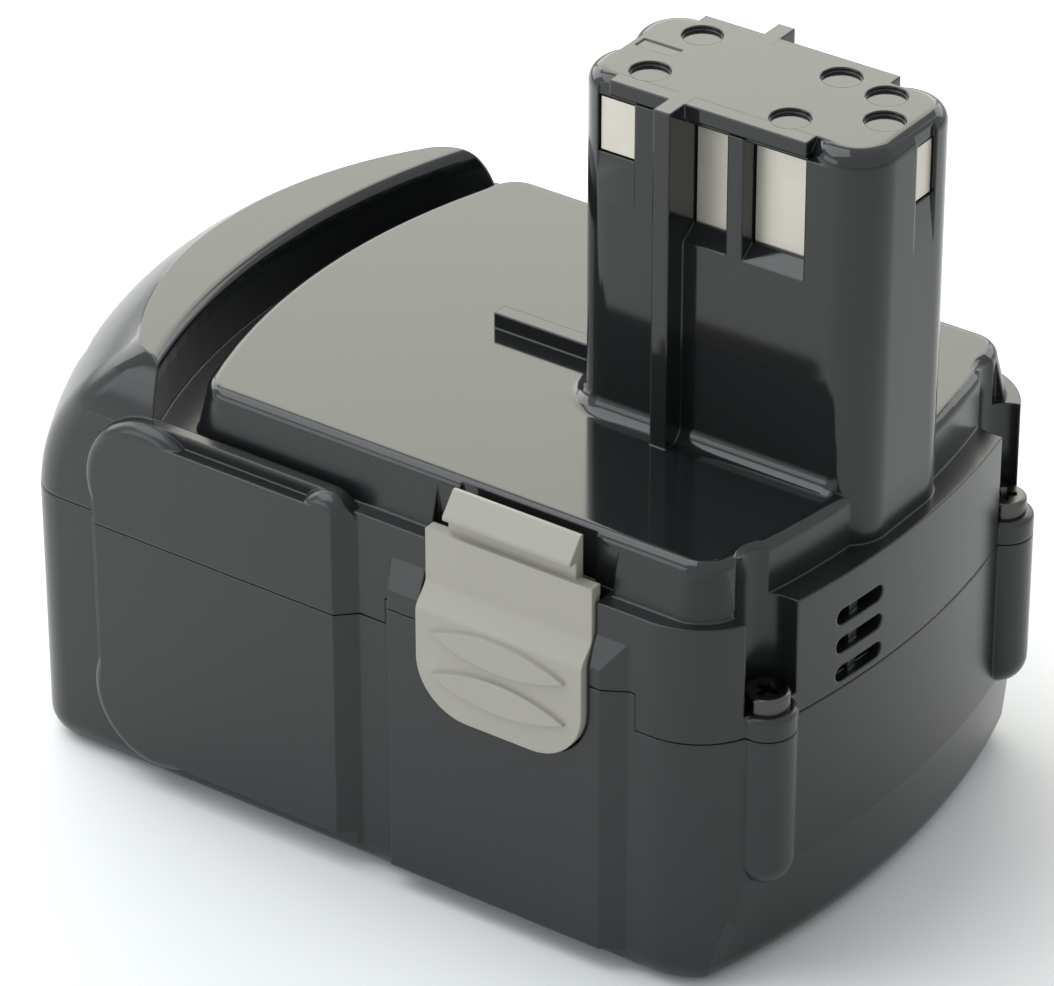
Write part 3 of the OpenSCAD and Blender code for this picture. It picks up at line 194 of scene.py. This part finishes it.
caseLook = {
    "color": (0.012, 0.0132, 0.0138),
    "gloss": 0.09,          # deck, stem and lip
    "satin": 0.25,          # outer walls
    "glossBox": {"centre": (11.35, 0, 83), "half": (48.65, 36.9, 24.6)},     # deck top and stem, in mm
    "glossTop": (60.9, 61.2),      # the lip's top
    "edge": 0.4,
    "edgeSamples": 8,
    "grain": 3600.0, "ripple": 45.0, "grainDepth": 0.006, "bump": 0.35,
    "glossGrain": 0.05,     # share of the grain left on glossy faces
    "shade": 0.08, "satinSpread": 0.03,
    "mark": {"centre": (21.1, 0, 106), "half": (2.8, 1.05, 0.5), "color": (0.03, 0.024, 0.02), "rough": 0.16},
    # painted shade: two thin dark strips on the front wall where fine grooves would lie in shade
    "lines": {"places": (-17.0, -7.1), "x": 59, "z": 43, "half": (4, 0.07, 6.6), "dark": 0.45},
}


def insideBox(tree, point, centre, half):
    mask = add(tree, "ShaderNodeGroup", {"Point": point}, node_tree=boxMask)
    mask.inputs["Centre"].default_value = tuple(c * mm for c in centre)
    mask.inputs["Half"].default_value = tuple(c * mm for c in half)
    return mask.outputs["Mask"]


def makeCaseMaterial():
    look = caseLook
    material, tree, shader = newMaterial("casePlastic", look["color"], look["satin"])
    place = add(tree, "ShaderNodeTexCoord")
    point = place.outputs["Object"]
    parts = add(tree, "ShaderNodeSeparateXYZ", {0: point})
    lipTop = add(tree, "ShaderNodeMapRange", {"Value": parts.outputs["Z"]},
                 {1: look["glossTop"][0] * mm, 2: look["glossTop"][1] * mm}, interpolation_type="SMOOTHSTEP")
    deck = insideBox(tree, point, look["glossBox"]["centre"], look["glossBox"]["half"])
    gloss = larger(tree, lipTop.outputs["Result"], deck)
    group = grainOn(tree, look["grain"], look["ripple"])
    color, shade = look["color"], look["shade"]
    tinted = blendColors(tree, group.outputs["Mottle"], tuple(c * (1 - shade) for c in color),
                         tuple(c * (1 + shade) for c in color))
    # painted shade: the base colour darkened in two thin strips that stand in for shaded grooves
    lines = look["lines"]
    found = [insideBox(tree, point, (lines["x"], y, lines["z"]), lines["half"]) for y in lines["places"]]
    grooveShadeMask = larger(tree, *found)
    tinted = blendColors(tree, grooveShadeMask, tinted, tuple(c * lines["dark"] for c in color))
    mark = insideBox(tree, point, look["mark"]["centre"], look["mark"]["half"])
    tree.links.new(blendColors(tree, mark, tinted, look["mark"]["color"]), shader.inputs["Base Color"])
    low, high = look["satin"] - look["satinSpread"], look["satin"] + look["satinSpread"]
    satin = spread(tree, group.outputs["Mottle"], low, high)
    rough = add(tree, "ShaderNodeMix", {0: gloss, 2: satin}, {3: look["gloss"]}, data_type="FLOAT")
    marked = add(tree, "ShaderNodeMix", {0: mark, 2: rough.outputs[0]}, {3: look["mark"]["rough"]},
                 data_type="FLOAT")
    tree.links.new(marked.outputs[0], shader.inputs["Roughness"])
    depth = spread(tree, gloss, 1.0, look["glossGrain"])
    height = add(tree, "ShaderNodeMath", {0: group.outputs["Height"], 1: depth}, operation="MULTIPLY")
    soft = add(tree, "ShaderNodeBevel", samples=look["edgeSamples"])
    soft.inputs["Radius"].default_value = look["edge"] * mm
    bump = add(tree, "ShaderNodeBump", {"Height": height.outputs[0], "Normal": soft.outputs["Normal"]})
    bump.inputs["Strength"].default_value = look["bump"]
    bump.inputs["Distance"].default_value = look["grainDepth"] * mm
    tree.links.new(bump.outputs["Normal"], shader.inputs["Normal"])
    return material


metalLooks = {
    "steel": {"color": (0.085, 0.083, 0.08), "roughness": 0.24, "metal": 1.0,
              "stretch": (900.0, 900.0, 900.0), "depth": 0.002},
    "nickel": {"color": (0.68, 0.64, 0.56), "roughness": 0.42, "metal": 0.6,
               "stretch": (2400.0, 2400.0, 90.0), "depth": 0.003},
    "shunt_metal": {"color": (0.46, 0.31, 0.19), "roughness": 0.35, "metal": 1.0,
                    "stretch": (200.0, 2200.0, 2200.0), "depth": 0.003},
}
metalFinish = {"tarnish": 0.9, "smooth": 0.8, "rough": 1.25, "bump": 0.3}


def makeMetal(name, look):
    material, tree, shader = newMaterial(name, look["color"], look["roughness"], look["metal"])
    group = add(tree, "ShaderNodeGroup", node_tree=brushedStreaks)
    group.inputs["Stretch"].default_value = look["stretch"]
    color, roughness = look["color"], look["roughness"]
    dull = tuple(c * metalFinish["tarnish"] for c in color)
    tree.links.new(blendColors(tree, group.outputs["Tarnish"], dull, color), shader.inputs["Base Color"])
    low, high = roughness * metalFinish["smooth"], roughness * metalFinish["rough"]
    tree.links.new(spread(tree, group.outputs["Height"], low, high), shader.inputs["Roughness"])
    bump = add(tree, "ShaderNodeBump", {"Height": group.outputs["Height"]})
    bump.inputs["Strength"].default_value = metalFinish["bump"]
    bump.inputs["Distance"].default_value = look["depth"] * mm
    tree.links.new(bump.outputs["Normal"], shader.inputs["Normal"])
    return material


plasticLooks = {  # grain per metre, grain depth and edge in mm
    "latch": {"name": "latchPlastic", "color": (0.365, 0.348, 0.302), "roughness": 0.42,
              "grain": 5200.0, "depth": 0.008, "edge": 0.3, "shade": 0.03},
    "ring_card": {"name": "ringCard", "color": (0.72, 0.69, 0.6), "roughness": 0.8,
                  "grain": 2600.0, "depth": 0.02, "edge": 0.0, "shade": 0.12},
    "holder": {"name": "holderPlastic", "color": (0.74, 0.74, 0.7), "roughness": 0.45,
               "grain": 4200.0, "depth": 0.006, "edge": 0.25, "shade": 0.03},
    "sheet_card": {"name": "insulatorCard", "color": (0.5, 0.44, 0.28), "roughness": 0.75,
                   "grain": 1400.0, "depth": 0.03, "edge": 0.0, "shade": 0.12},
    "foam": {"name": "foam", "color": (0.045, 0.045, 0.047), "roughness": 0.95,
             "grain": 1500.0, "depth": 0.2, "edge": 0.0, "shade": 0.3},
    "board": {"name": "boardMask", "color": (0.02, 0.1, 0.045), "roughness": 0.3,
              "grain": 900.0, "depth": 0.01, "edge": 0.0, "shade": 0.25},
    "chip": {"name": "chipPackage", "color": (0.022, 0.022, 0.024), "roughness": 0.5,
             "grain": 5200.0, "depth": 0.01, "edge": 0.15, "shade": 0.12},
    "can": {"name": "canSleeve", "color": (0.03, 0.036, 0.07), "roughness": 0.3,
            "grain": 3000.0, "depth": 0.004, "edge": 0.1, "shade": 0.12},
    "cell_wrap": {"name": "cellSleeve", "color": (0.05, 0.25, 0.14), "roughness": 0.3,
                  "grain": 2400.0, "depth": 0.003, "edge": 0.2, "shade": 0.12},
    "tower": {"name": "towerPlastic", "color": (0.05, 0.05, 0.053), "roughness": 0.45,
              "grain": 4200.0, "depth": 0.006, "edge": 0.3, "shade": 0.12},
}
materials = {"case": makeCaseMaterial()}
for slot, look in plasticLooks.items():
    materials[slot] = mouldedPlastic(look)
for slot, look in metalLooks.items():
    materials[slot] = makeMetal(slot, look)
print("materials made:", len(materials))


crease = {"height": 15, "reach": 0.02, "angle": 3}  # where the front wall starts to lean in
weld = 0.002 * mm


def shadeByAngle(mesh, angle=20, flatten=0.0):  # smooth over gentle facets, sharp elsewhere
    shape = bmesh.new()
    shape.from_mesh(mesh)
    bmesh.ops.remove_doubles(shape, verts=shape.verts, dist=weld)
    bmesh.ops.dissolve_degenerate(shape, edges=shape.edges, dist=weld)
    if flatten:
        bmesh.ops.dissolve_limit(shape, angle_limit=math.radians(flatten), verts=shape.verts,
                                 edges=shape.edges)
    for face in shape.faces:
        face.smooth = True
    for edge in shape.edges:
        onCrease = all(abs(vert.co.z - crease["height"] * mm) < crease["reach"] * mm for vert in edge.verts)
        limit = crease["angle"] if onCrease else angle
        edge.smooth = len(edge.link_faces) == 2 and edge.calc_face_angle(0) < math.radians(limit)
    shape.to_mesh(mesh)
    shape.free()


def newPiece(name, mesh, material):
    mesh.materials.clear()
    mesh.materials.append(material)
    piece = bpy.data.objects.new(name, mesh)
    bpy.context.scene.collection.objects.link(piece)
    return piece


def weighNormals(piece):
    weights = piece.modifiers.new("flatFaces", "WEIGHTED_NORMAL")
    weights.keep_sharp = True
    weights.weight = 100


def copyNode(node, name, flatten=0.0):
    mesh = nodes[node].data.copy()
    mesh.name = name
    shadeByAngle(mesh, flatten=flatten)
    return newPiece(name, mesh, materials[slotOf[node]])


def standFor(piece, node):
    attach(piece, bodyOf[node])
    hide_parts(node)


def settle(piece):  # keeps the mesh that the modifiers make
    graph = bpy.context.evaluated_depsgraph_get()
    mesh = bpy.data.meshes.new_from_object(piece.evaluated_get(graph), depsgraph=graph)
    piece.modifiers.clear()
    old, piece.data = piece.data, mesh
    bpy.data.meshes.remove(old)
    mesh.name = piece.name


def closedMesh(name, points, faces):
    mesh = bpy.data.meshes.new(name)
    mesh.from_pydata(points, [], faces)
    shape = bmesh.new()
    shape.from_mesh(mesh)
    bmesh.ops.recalc_face_normals(shape, faces=shape.faces)
    shape.to_mesh(mesh)
    shape.free()
    return mesh


def turnedMesh(name, centre, profile, start, end, steps):  # (reach, height) points about an upright axis
    whole = end - start >= 360
    rings = steps if whole else steps + 1
    size = len(profile)
    points, faces = [], []
    for ring in range(rings):
        turn = math.radians(start + (end - start) * ring / steps)
        for reach, height in profile:
            x, y = centre[0] + reach * math.cos(turn), centre[1] + reach * math.sin(turn)
            points.append((x * mm, y * mm, height * mm))
    for ring in range(steps):
        here, there = ring * size, (ring + 1) % rings * size
        for index in range(size):
            after = (index + 1) % size
            faces.append((here + index, there + index, there + after, here + after))
    if not whole:
        faces.append(tuple(range(size)))
        faces.append(tuple(range((rings - 1) * size, rings * size)))
    return closedMesh(name, points, faces)


def prismFaces(size):  # two rings of points, capped
    faces = [tuple(range(size)), tuple(range(size, 2 * size))]
    return faces + [(i, (i + 1) % size, size + (i + 1) % size, size + i) for i in range(size)]


def cutAway(piece, cutters, operation="DIFFERENCE"):
    for mesh in cutters:
        tool = bpy.data.objects.new("tool", mesh)
        bpy.context.scene.collection.objects.link(tool)
        cut = piece.modifiers.new("cut", "BOOLEAN")
        cut.operation, cut.solver, cut.object = operation, "MANIFOLD", tool
        settle(piece)
        bpy.data.objects.remove(tool)
        bpy.data.meshes.remove(mesh)


def quarterArc(centre, radius, start, end, steps=8):
    turns = [math.radians(start + (end - start) * step / steps) for step in range(steps + 1)]
    return [(centre[0] + radius * math.cos(turn), centre[1] + radius * math.sin(turn)) for turn in turns]


upperLook = {
    "deckTop": 59.8, "deckRound": 1.6, "cornerRound": 4.5,      # mm
    "corners": [(47.88, 29.35, 15.2, 90), (-21.03, 29.35, 90, 159.6)],     # centre, start and end angle
    "cornerTrim": 0.2, "over": 0.5,     # degrees, and mm that a cutter reaches past a face
    "cornerSteps": 24, "wellSteps": 96, "lipSteps": 160,
    "wells": (56.1, 27.4), "wellRadius": 4.05, "wellFlare": 1.1,
    "marks": [(23.6, 5.7), (23.7, -5.7), (43.3, 6.1), (50.3, 5.1), (44.0, -6.2), (53.5, -0.4)],
    "markRadius": 2.6, "markDepth": 0.55, "stemTop": 106.0,
    "hoods": [((21.0, -10.38, 104.05), (48.9, -7.6, 105.99)), ((21.0, 7.6, 104.05), (48.9, 10.38, 105.99))],
    "skirt": {"inner": 33.0, "foot": 35.3, "top": 33.85, "low": 52.1, "high": 58.2,
              "runs": [(-21.03, 12.2), (38.8, 47.88)]},     # between the latch and the corners
    "dome": {"axis": 7.0, "radius": 67.0, "round": 30.0, "from": 36.0, "side": 37.45, "corner": 6.0,
             "shoulder": 16.0, "shoulderFrom": 50.5, "low": 37.2, "high": 62.0, "sideMargin": 6, "rearMargin": 9},
    "lip": {"axis": 58.0, "radius": 95.0, "top": 61.3, "edge": 1.35, "sweep": 24.0},
}


def rearCornerMesh(side, levels=44, steps=16):  # what the corner of the dome and the side loses
    look = upperLook["dome"]
    points, faces = [], []
    size = steps + 3
    for level in range(levels + 1):
        z = look["low"] + (look["high"] - look["low"]) * level / levels
        reach = look["radius"] - look["round"] + math.sqrt(look["round"] ** 2 - (z - look["from"]) ** 2)
        half = look["side"]
        if z > look["shoulderFrom"]:
            half += math.sqrt(look["shoulder"] ** 2 - (z - look["shoulderFrom"]) ** 2) - look["shoulder"]
        corner = look["corner"]
        y = half - corner
        x = look["axis"] - math.sqrt((reach - corner) ** 2 - y ** 2)
        first = math.atan2(y, x - look["axis"])
        ring = [(x + corner * math.cos(turn), y + corner * math.sin(turn)) for turn in
                (first + (math.pi / 2 - first) * step / steps for step in range(steps + 1))]
        outer = corner + look["rearMargin"]
        ring += [(ring[-1][0], half + look["sideMargin"]),
                 (x + outer * math.cos(first), y + outer * math.sin(first))]
        points += [(px * mm, side * py * mm, z * mm) for px, py in ring]
    for level in range(levels):
        here, there = level * size, (level + 1) * size
        faces += [(here + i, here + (i + 1) % size, there + (i + 1) % size, there + i) for i in range(size)]
    faces += [tuple(range(size)), tuple(range(levels * size, (levels + 1) * size))]
    return closedMesh("rearCorner", points, faces)


def wedgeMesh(skirt, run, side):  # the slope at the foot of the deck's side
    section = [(skirt["inner"], skirt["low"]), (skirt["foot"], skirt["low"]), (skirt["top"], skirt["high"]),
               (skirt["inner"], skirt["high"])]
    points = [(x * mm, side * y * mm, z * mm) for x in run for y, z in section]
    return closedMesh("skirt", points, prismFaces(len(section)))


def deckCutters(look):  # rounded top corners and flared screw wells
    top, edge, corner, over = look["deckTop"], look["deckRound"], look["cornerRound"], look["over"]
    fillet = quarterArc((corner - edge, top - edge), edge, 0, 90)
    fillet += [(corner - edge, top + over), (corner + over, top + over), (corner + over, top - edge)]
    trim, steps = look["cornerTrim"], look["cornerSteps"]
    cutters = []
    for x, y, start, end in look["corners"]:
        cutters.append(turnedMesh("corner", (x, y), fillet, start + trim, end - trim, steps))
        cutters.append(turnedMesh("corner", (x, -y), fillet, trim - end, -trim - start, steps))
    reach, flare = look["wellRadius"], look["wellFlare"]
    bite = quarterArc((reach + flare, top - flare), flare, 180, 90)
    bite += [(reach + flare, top + over), (reach - over, top + over), (reach - over, top - flare)]
    x, y = look["wells"]
    for side in (-1, 1):
        cutters.append(turnedMesh("flare", (x, side * y), bite, 0, 360, look["wellSteps"]))
    return cutters


def lipCutter(look):  # the rounded inner edge of the grip lip
    lip, over = look["lip"], look["over"]
    inner, top, edge, sweep = lip["radius"], lip["top"], lip["edge"], lip["sweep"]
    brow = quarterArc((inner + edge, top - edge), edge, 180, 90)
    brow += [(inner + edge, top + over), (inner - over, top + over), (inner - over, top - edge)]
    return turnedMesh("brow", (lip["axis"], 0), brow, 180 - sweep, 180 + sweep, look["lipSteps"])


def addedForms(look):  # plate edges over the contact slots and the slopes below the deck
    added = [boxMesh("hood", *box) for box in look["hoods"]]
    skirt, corner, steps = look["skirt"], look["cornerRound"], look["cornerSteps"]
    for side in (-1, 1):
        added += [wedgeMesh(skirt, run, side) for run in skirt["runs"]]
    spare = skirt["foot"] - skirt["top"]
    slope = [(corner - spare, skirt["low"]), (corner + spare, skirt["low"]), (corner, skirt["high"]),
             (corner - spare, skirt["high"])]
    for x, y, start, end in look["corners"]:
        added.append(turnedMesh("skirt", (x, y), slope, start, end, steps))
        added.append(turnedMesh("skirt", (x, -y), slope, -end, -start, steps))
    return added


def dressUpperCase(piece):  # the moulding's finest forms
    look = upperLook
    floor, roof = look["stemTop"] - look["markDepth"], look["stemTop"] + look["over"]
    pits = [discMesh("pit", place, look["markRadius"], floor, roof) for place in look["marks"]]
    cutAway(piece, addedForms(look), "UNION")
    cutAway(piece, deckCutters(look) + pits + [rearCornerMesh(-1), rearCornerMesh(1), lipCutter(look)])
    shadeByAngle(piece.data)
    weighNormals(piece)


def boxMesh(name, low, high):
    corners = [low, high]
    points = [(corners[i][0] * mm, corners[j][1] * mm, corners[k][2] * mm)
              for k in (0, 1) for j in (0, 1) for i in (0, 1)]
    faces = [(0, 1, 3, 2), (4, 5, 7, 6), (0, 1, 5, 4), (2, 3, 7, 6), (0, 2, 6, 4), (1, 3, 7, 5)]
    return closedMesh(name, points, faces)


def discMesh(name, centre, radius, low, high, steps=48):
    points = []
    for height in (low, high):
        for step in range(steps):
            turn = 2 * math.pi * step / steps
            x, y = centre[0] + radius * math.cos(turn), centre[1] + radius * math.sin(turn)
            points.append((x * mm, y * mm, height * mm))
    return closedMesh(name, points, prismFaces(steps))


edgeLooks = {  # rounded edges in mm
    "latch_left": 0.4, "latch_right": 0.4, "contact_left_rear": 0.12, "contact_left_middle": 0.12,
    "contact_left_front": 0.12, "contact_right_rear": 0.12, "contact_right_middle": 0.12,
    "contact_right_front": 0.12, "contact_end": 0.12, "foam_pad": 0.6, "terminal_tower": 0.4,
}


edgeFinish = {"segments": 3, "angle": 35, "flatten": 1.5}


def roundEdges(piece, width):
    bevel = piece.modifiers.new("roundEdges", "BEVEL")
    bevel.width = width * mm
    bevel.segments = edgeFinish["segments"]
    bevel.limit_method = "ANGLE"
    bevel.angle_limit = math.radians(edgeFinish["angle"])
    bevel.harden_normals = True
    bevel.miter_outer = "MITER_ARC"


def newTree(name, inputs):
    tree = bpy.data.node_groups.new(name, "GeometryNodeTree")
    identifiers = {}
    for label, kind in inputs:
        identifiers[label] = tree.interface.new_socket(label, in_out="INPUT", socket_type=kind).identifier
    tree.interface.new_socket("Geometry", in_out="OUTPUT", socket_type="NodeSocketGeometry")
    return tree, tree.nodes.new("NodeGroupInput"), tree.nodes.new("NodeGroupOutput"), identifiers


def closeTree(tree, shape, source, sink):
    real = add(tree, "GeometryNodeRealizeInstances", {"Geometry": shape})
    painted = add(tree, "GeometryNodeSetMaterial", {
        "Geometry": real.outputs[0], "Material": source.outputs["Material"]})
    tree.links.new(painted.outputs[0], sink.inputs[0])


def grow(piece, tree, identifiers, values):
    modifier = piece.modifiers.new("repeat", "NODES")
    modifier.node_group = tree
    for label, value in values.items():
        modifier[identifiers[label]] = value
    settle(piece)


screwLook = {
    "x": 56.1, "y": 27.4, "seat": 39.4,     # mm
    "headRadius": 2.9, "headHeight": 2.2, "crown": 0.55,
    "shank": 1.5, "length": 18, "tip": 0.6, "point": 1, "axis": 0.001, "flat": 0.35, "steps": 48,
    "crossReach": 1.75, "crossWidth": 0.95, "crossDepth": 1.3, "crossTaper": 0.62, "crossOver": 0.4,
    "turn": 0.6,     # from one screw to the next
}


def crossMesh(look):
    wide, reach = look["crossWidth"] / 2, look["crossReach"]
    outline = [(wide, wide), (wide, reach), (-wide, reach), (-wide, wide), (-reach, wide), (-reach, -wide),
               (-wide, -wide), (-wide, -reach), (wide, -reach), (wide, -wide), (reach, -wide), (reach, wide)]
    low, high = look["headHeight"] - look["crossDepth"], look["headHeight"] + look["crossOver"]
    taper = look["crossTaper"]
    points = [(x * taper * mm, y * taper * mm, low * mm) for x, y in outline]
    points += [(x * mm, y * mm, high * mm) for x, y in outline]
    return closedMesh("cross", points, prismFaces(len(outline)))


def makeScrewTree():
    tree, source, sink, identifiers = newTree("screwPair", [
        ("Geometry", "NodeSocketGeometry"), ("Count", "NodeSocketInt"), ("First", "NodeSocketVector"),
        ("Step", "NodeSocketVector"), ("Turn", "NodeSocketFloat"), ("Material", "NodeSocketMaterial")])
    row = add(tree, "GeometryNodeMeshLine", {
        "Count": source.outputs["Count"], "Start Location": source.outputs["First"],
        "Offset": source.outputs["Step"]})
    number = add(tree, "GeometryNodeInputIndex")
    turn = add(tree, "ShaderNodeMath", {0: number.outputs[0], 1: source.outputs["Turn"]},
               operation="MULTIPLY")
    axis = add(tree, "ShaderNodeCombineXYZ", {"Z": turn.outputs[0]})
    copies = add(tree, "GeometryNodeInstanceOnPoints", {
        "Points": row.outputs[0], "Instance": source.outputs["Geometry"], "Rotation": axis.outputs[0]})
    closeTree(tree, copies.outputs[0], source, sink)
    return tree, identifiers


def makeScrews():
    look = screwLook
    head, crown, tall = look["headRadius"], look["crown"], look["headHeight"]
    axis, shank, length = look["axis"], look["shank"], look["length"]
    profile = [(axis, -length), (shank * look["tip"], -length), (shank, look["point"] - length), (shank, 0),
               (head, 0)]
    profile += quarterArc((head - crown, tall - crown), crown, 0, 90, 6)
    profile += [(head * look["flat"], tall), (axis, tall)]
    mesh = turnedMesh("screw", (0, 0), profile, 0, 360, look["steps"])
    form = newPiece("caseScrews", mesh, materials["steel"])
    cutAway(form, [crossMesh(look)])
    shadeByAngle(form.data)
    tree, identifiers = makeScrewTree()
    grow(form, tree, identifiers, {
        "Count": 2, "First": (look["x"] * mm, -look["y"] * mm, look["seat"] * mm),
        "Step": (0, 2 * look["y"] * mm, 0), "Turn": look["turn"], "Material": materials["steel"]})
    weighNormals(form)
    standFor(form, "case_screws")


springLook = {"turns": 5.0, "wire": 0.6, "keep": 0.6875, "rings": 40, "sides": 10, "smooth": 60}


def makeSpringTree():
    tree, source, sink, identifiers = newTree("coilSpring", [
        ("Geometry", "NodeSocketGeometry"), ("Turns", "NodeSocketFloat"), ("Radius", "NodeSocketFloat"),
        ("Length", "NodeSocketFloat"), ("Wire", "NodeSocketFloat"), ("Place", "NodeSocketVector"),
        ("Tilt", "NodeSocketRotation"), ("Material", "NodeSocketMaterial")])
    coil = add(tree, "GeometryNodeCurveSpiral", {
        "Rotations": source.outputs["Turns"], "Start Radius": source.outputs["Radius"],
        "End Radius": source.outputs["Radius"], "Height": source.outputs["Length"]},
        {"Resolution": springLook["rings"]})
    moved = add(tree, "GeometryNodeTransform", {
        "Geometry": coil.outputs[0], "Translation": source.outputs["Place"], "Rotation": source.outputs["Tilt"]})
    ring = add(tree, "GeometryNodeCurvePrimitiveCircle", {"Radius": source.outputs["Wire"]},
               {"Resolution": springLook["sides"]})
    wire = add(tree, "GeometryNodeCurveToMesh", {"Curve": moved.outputs[0], "Profile Curve": ring.outputs[0]},
               {"Fill Caps": True})
    closeTree(tree, wire.outputs[0], source, sink)
    return tree, identifiers


def makeSprings():
    tree, identifiers = makeSpringTree()
    wire = springLook["wire"] * mm
    for side, node in ((-1, "latch_spring_left"), (1, "latch_spring_right")):
        low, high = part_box(node)
        middle = (low + high) / 2
        length = high.y - low.y - wire
        base = (high.y - wire / 2) if side < 0 else (low.y + wire / 2)
        name = "latchSpringLeft" if side < 0 else "latchSpringRight"
        spring = newPiece(name, bpy.data.meshes.new(name), materials["steel"])
        grow(spring, tree, identifiers, {
            "Turns": springLook["turns"], "Radius": (high.x - low.x - wire) / 2, "Length": length,
            "Wire": wire / 2, "Place": (middle.x, base, middle.z), "Tilt": (-side * math.pi / 2, 0, 0),
            "Material": materials["steel"]})
        shadeByAngle(spring.data, springLook["smooth"])
        standFor(spring, node)
        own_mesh(spring)


ownForms = ("case_screws", "latch_spring_left", "latch_spring_right")
for node in nodes:
    if node in ownForms:
        continue
    words = node.split("_")
    name = words[0] + "".join(word.capitalize() for word in words[1:])
    piece = copyNode(node, name, edgeFinish["flatten"] if node in edgeLooks else 0.0)
    if node == "upper_case":
        dressUpperCase(piece)
    elif node in edgeLooks:
        roundEdges(piece, edgeLooks[node])
    else:
        weighNormals(piece)
    standFor(piece, node)
print("CAD pieces dressed")
makeScrews()
makeSprings()
print("screws and springs made")


stageLook = {
    "floor": 2.4,                                # half width of the floor in metres
    "floorColor": (0.95, 0.955, 0.96), "floorRough": 0.8,
    "aim": (0, 0, 0.055),                        # where the lamps point
    "worldLight": 0.55,
    "worldColor": (0.96, 1.0, 1.02),
    "softbox": {"direction": (-0.493, 0.696, 0.522), "distance": 0.72, "size": (0.62, 0.46), "radiance": 2.9,
                "color": (1.0, 0.985, 0.84)},
    "top": {"direction": (-0.45, -0.2, 0.87), "distance": 0.85, "size": (0.8, 0.7), "radiance": 2.4,
            "color": (0.96, 1.0, 1.02)},
    "left": {"direction": (-0.9, 0.15, 0.35), "distance": 0.8, "size": (0.5, 0.45), "radiance": 2.6,
             "color": (1.0, 1.0, 0.98)},
    "near": {"direction": (-0.55, -0.8, 0.26), "distance": 0.85, "size": (0.6, 0.35), "radiance": 1.7,
             "color": (0.96, 1.0, 1.02)},
    "far": {"direction": (0.15, 0.9, 0.4), "distance": 0.85, "size": (0.5, 0.4), "radiance": 2.0,
            "color": (1.0, 1.0, 1.0)},
}


def makeFloor():
    half = stageLook["floor"]
    mesh = bpy.data.meshes.new("floor")
    corners = [(-half, -half, 0), (half, -half, 0), (half, half, 0), (-half, half, 0)]
    mesh.from_pydata(corners, [], [(0, 1, 2, 3)])
    floor = bpy.data.objects.new("floor", mesh)
    bpy.context.scene.collection.objects.link(floor)
    material, _, shader = newMaterial("paleFloor", stageLook["floorColor"], stageLook["floorRough"])
    shader.inputs["Specular IOR Level"].default_value = 0
    mesh.materials.append(material)


def makeWorld():
    world = bpy.data.worlds.new("studio")
    world.use_nodes = True
    bpy.context.scene.world = world
    tree = world.node_tree
    back = tree.nodes["Background"]
    rays = add(tree, "ShaderNodeLightPath")
    shown = larger(tree, rays.outputs["Is Camera Ray"], rays.outputs["Is Glossy Ray"])
    clear = larger(tree, shown, rays.outputs["Is Transmission Ray"])
    tree.links.new(spread(tree, clear, stageLook["worldLight"], 1.0), back.inputs["Strength"])
    back.inputs["Color"].default_value = (*stageLook["worldColor"], 1)


def makeLamp(name):
    look = stageLook[name]
    data = bpy.data.lights.new(name, "AREA")
    data.shape = "RECTANGLE"
    data.size, data.size_y = look["size"]
    data.color = look["color"]
    data.energy = look["radiance"] * math.pi * data.size * data.size_y
    lamp = bpy.data.objects.new(name, data)
    bpy.context.scene.collection.objects.link(lamp)
    out = Vector(look["direction"]).normalized()
    lamp.location = Vector(stageLook["aim"]) + out * look["distance"]
    lamp.rotation_mode = "QUATERNION"
    lamp.rotation_quaternion = out.to_track_quat("Z", "Y")


cameraLook = {
    "place": (374.6, -528.4, 431.7),     # mm
    "azimuth": 35.29, "elevation": 31.45, "roll": -0.11,
    "focal": 5912.0,                      # pixels of the photograph's 1054 by 986
    "centre": (521.0, 494.0),
    "frame": (1054, 986),
    "sensor": 36, "clip": (0.05, 20),
}


def makeCamera():
    look = cameraLook
    turn, rise, roll = (math.radians(look[key]) for key in ("azimuth", "elevation", "roll"))
    back = Vector((math.sin(turn) * math.cos(rise), -math.cos(turn) * math.cos(rise), math.sin(rise)))
    right = Vector((math.cos(turn), math.sin(turn), 0))
    up = back.cross(right)
    across = right * math.cos(roll) + up * math.sin(roll)
    upright = up * math.cos(roll) - right * math.sin(roll)
    data = bpy.data.cameras.new("camera")
    data.sensor_fit = "HORIZONTAL"
    data.sensor_width = look["sensor"]
    width, height = look["frame"]
    data.lens = look["sensor"] * look["focal"] / width
    data.shift_x = (width / 2 - look["centre"][0]) / width
    data.shift_y = (look["centre"][1] - height / 2) / width
    data.clip_start, data.clip_end = look["clip"]
    camera = bpy.data.objects.new("camera", data)
    bpy.context.scene.collection.objects.link(camera)
    camera.matrix_world = Matrix.Translation(Vector(look["place"]) * mm) @ Matrix(
        (across, upright, back)).transposed().to_4x4()
    bpy.context.scene.camera = camera


makeFloor()
makeWorld()
for lamp in ("softbox", "top", "left", "near", "far"):
    makeLamp(lamp)
makeCamera()
bpy.context.scene.view_settings.view_transform = "Standard"
print("stage set")
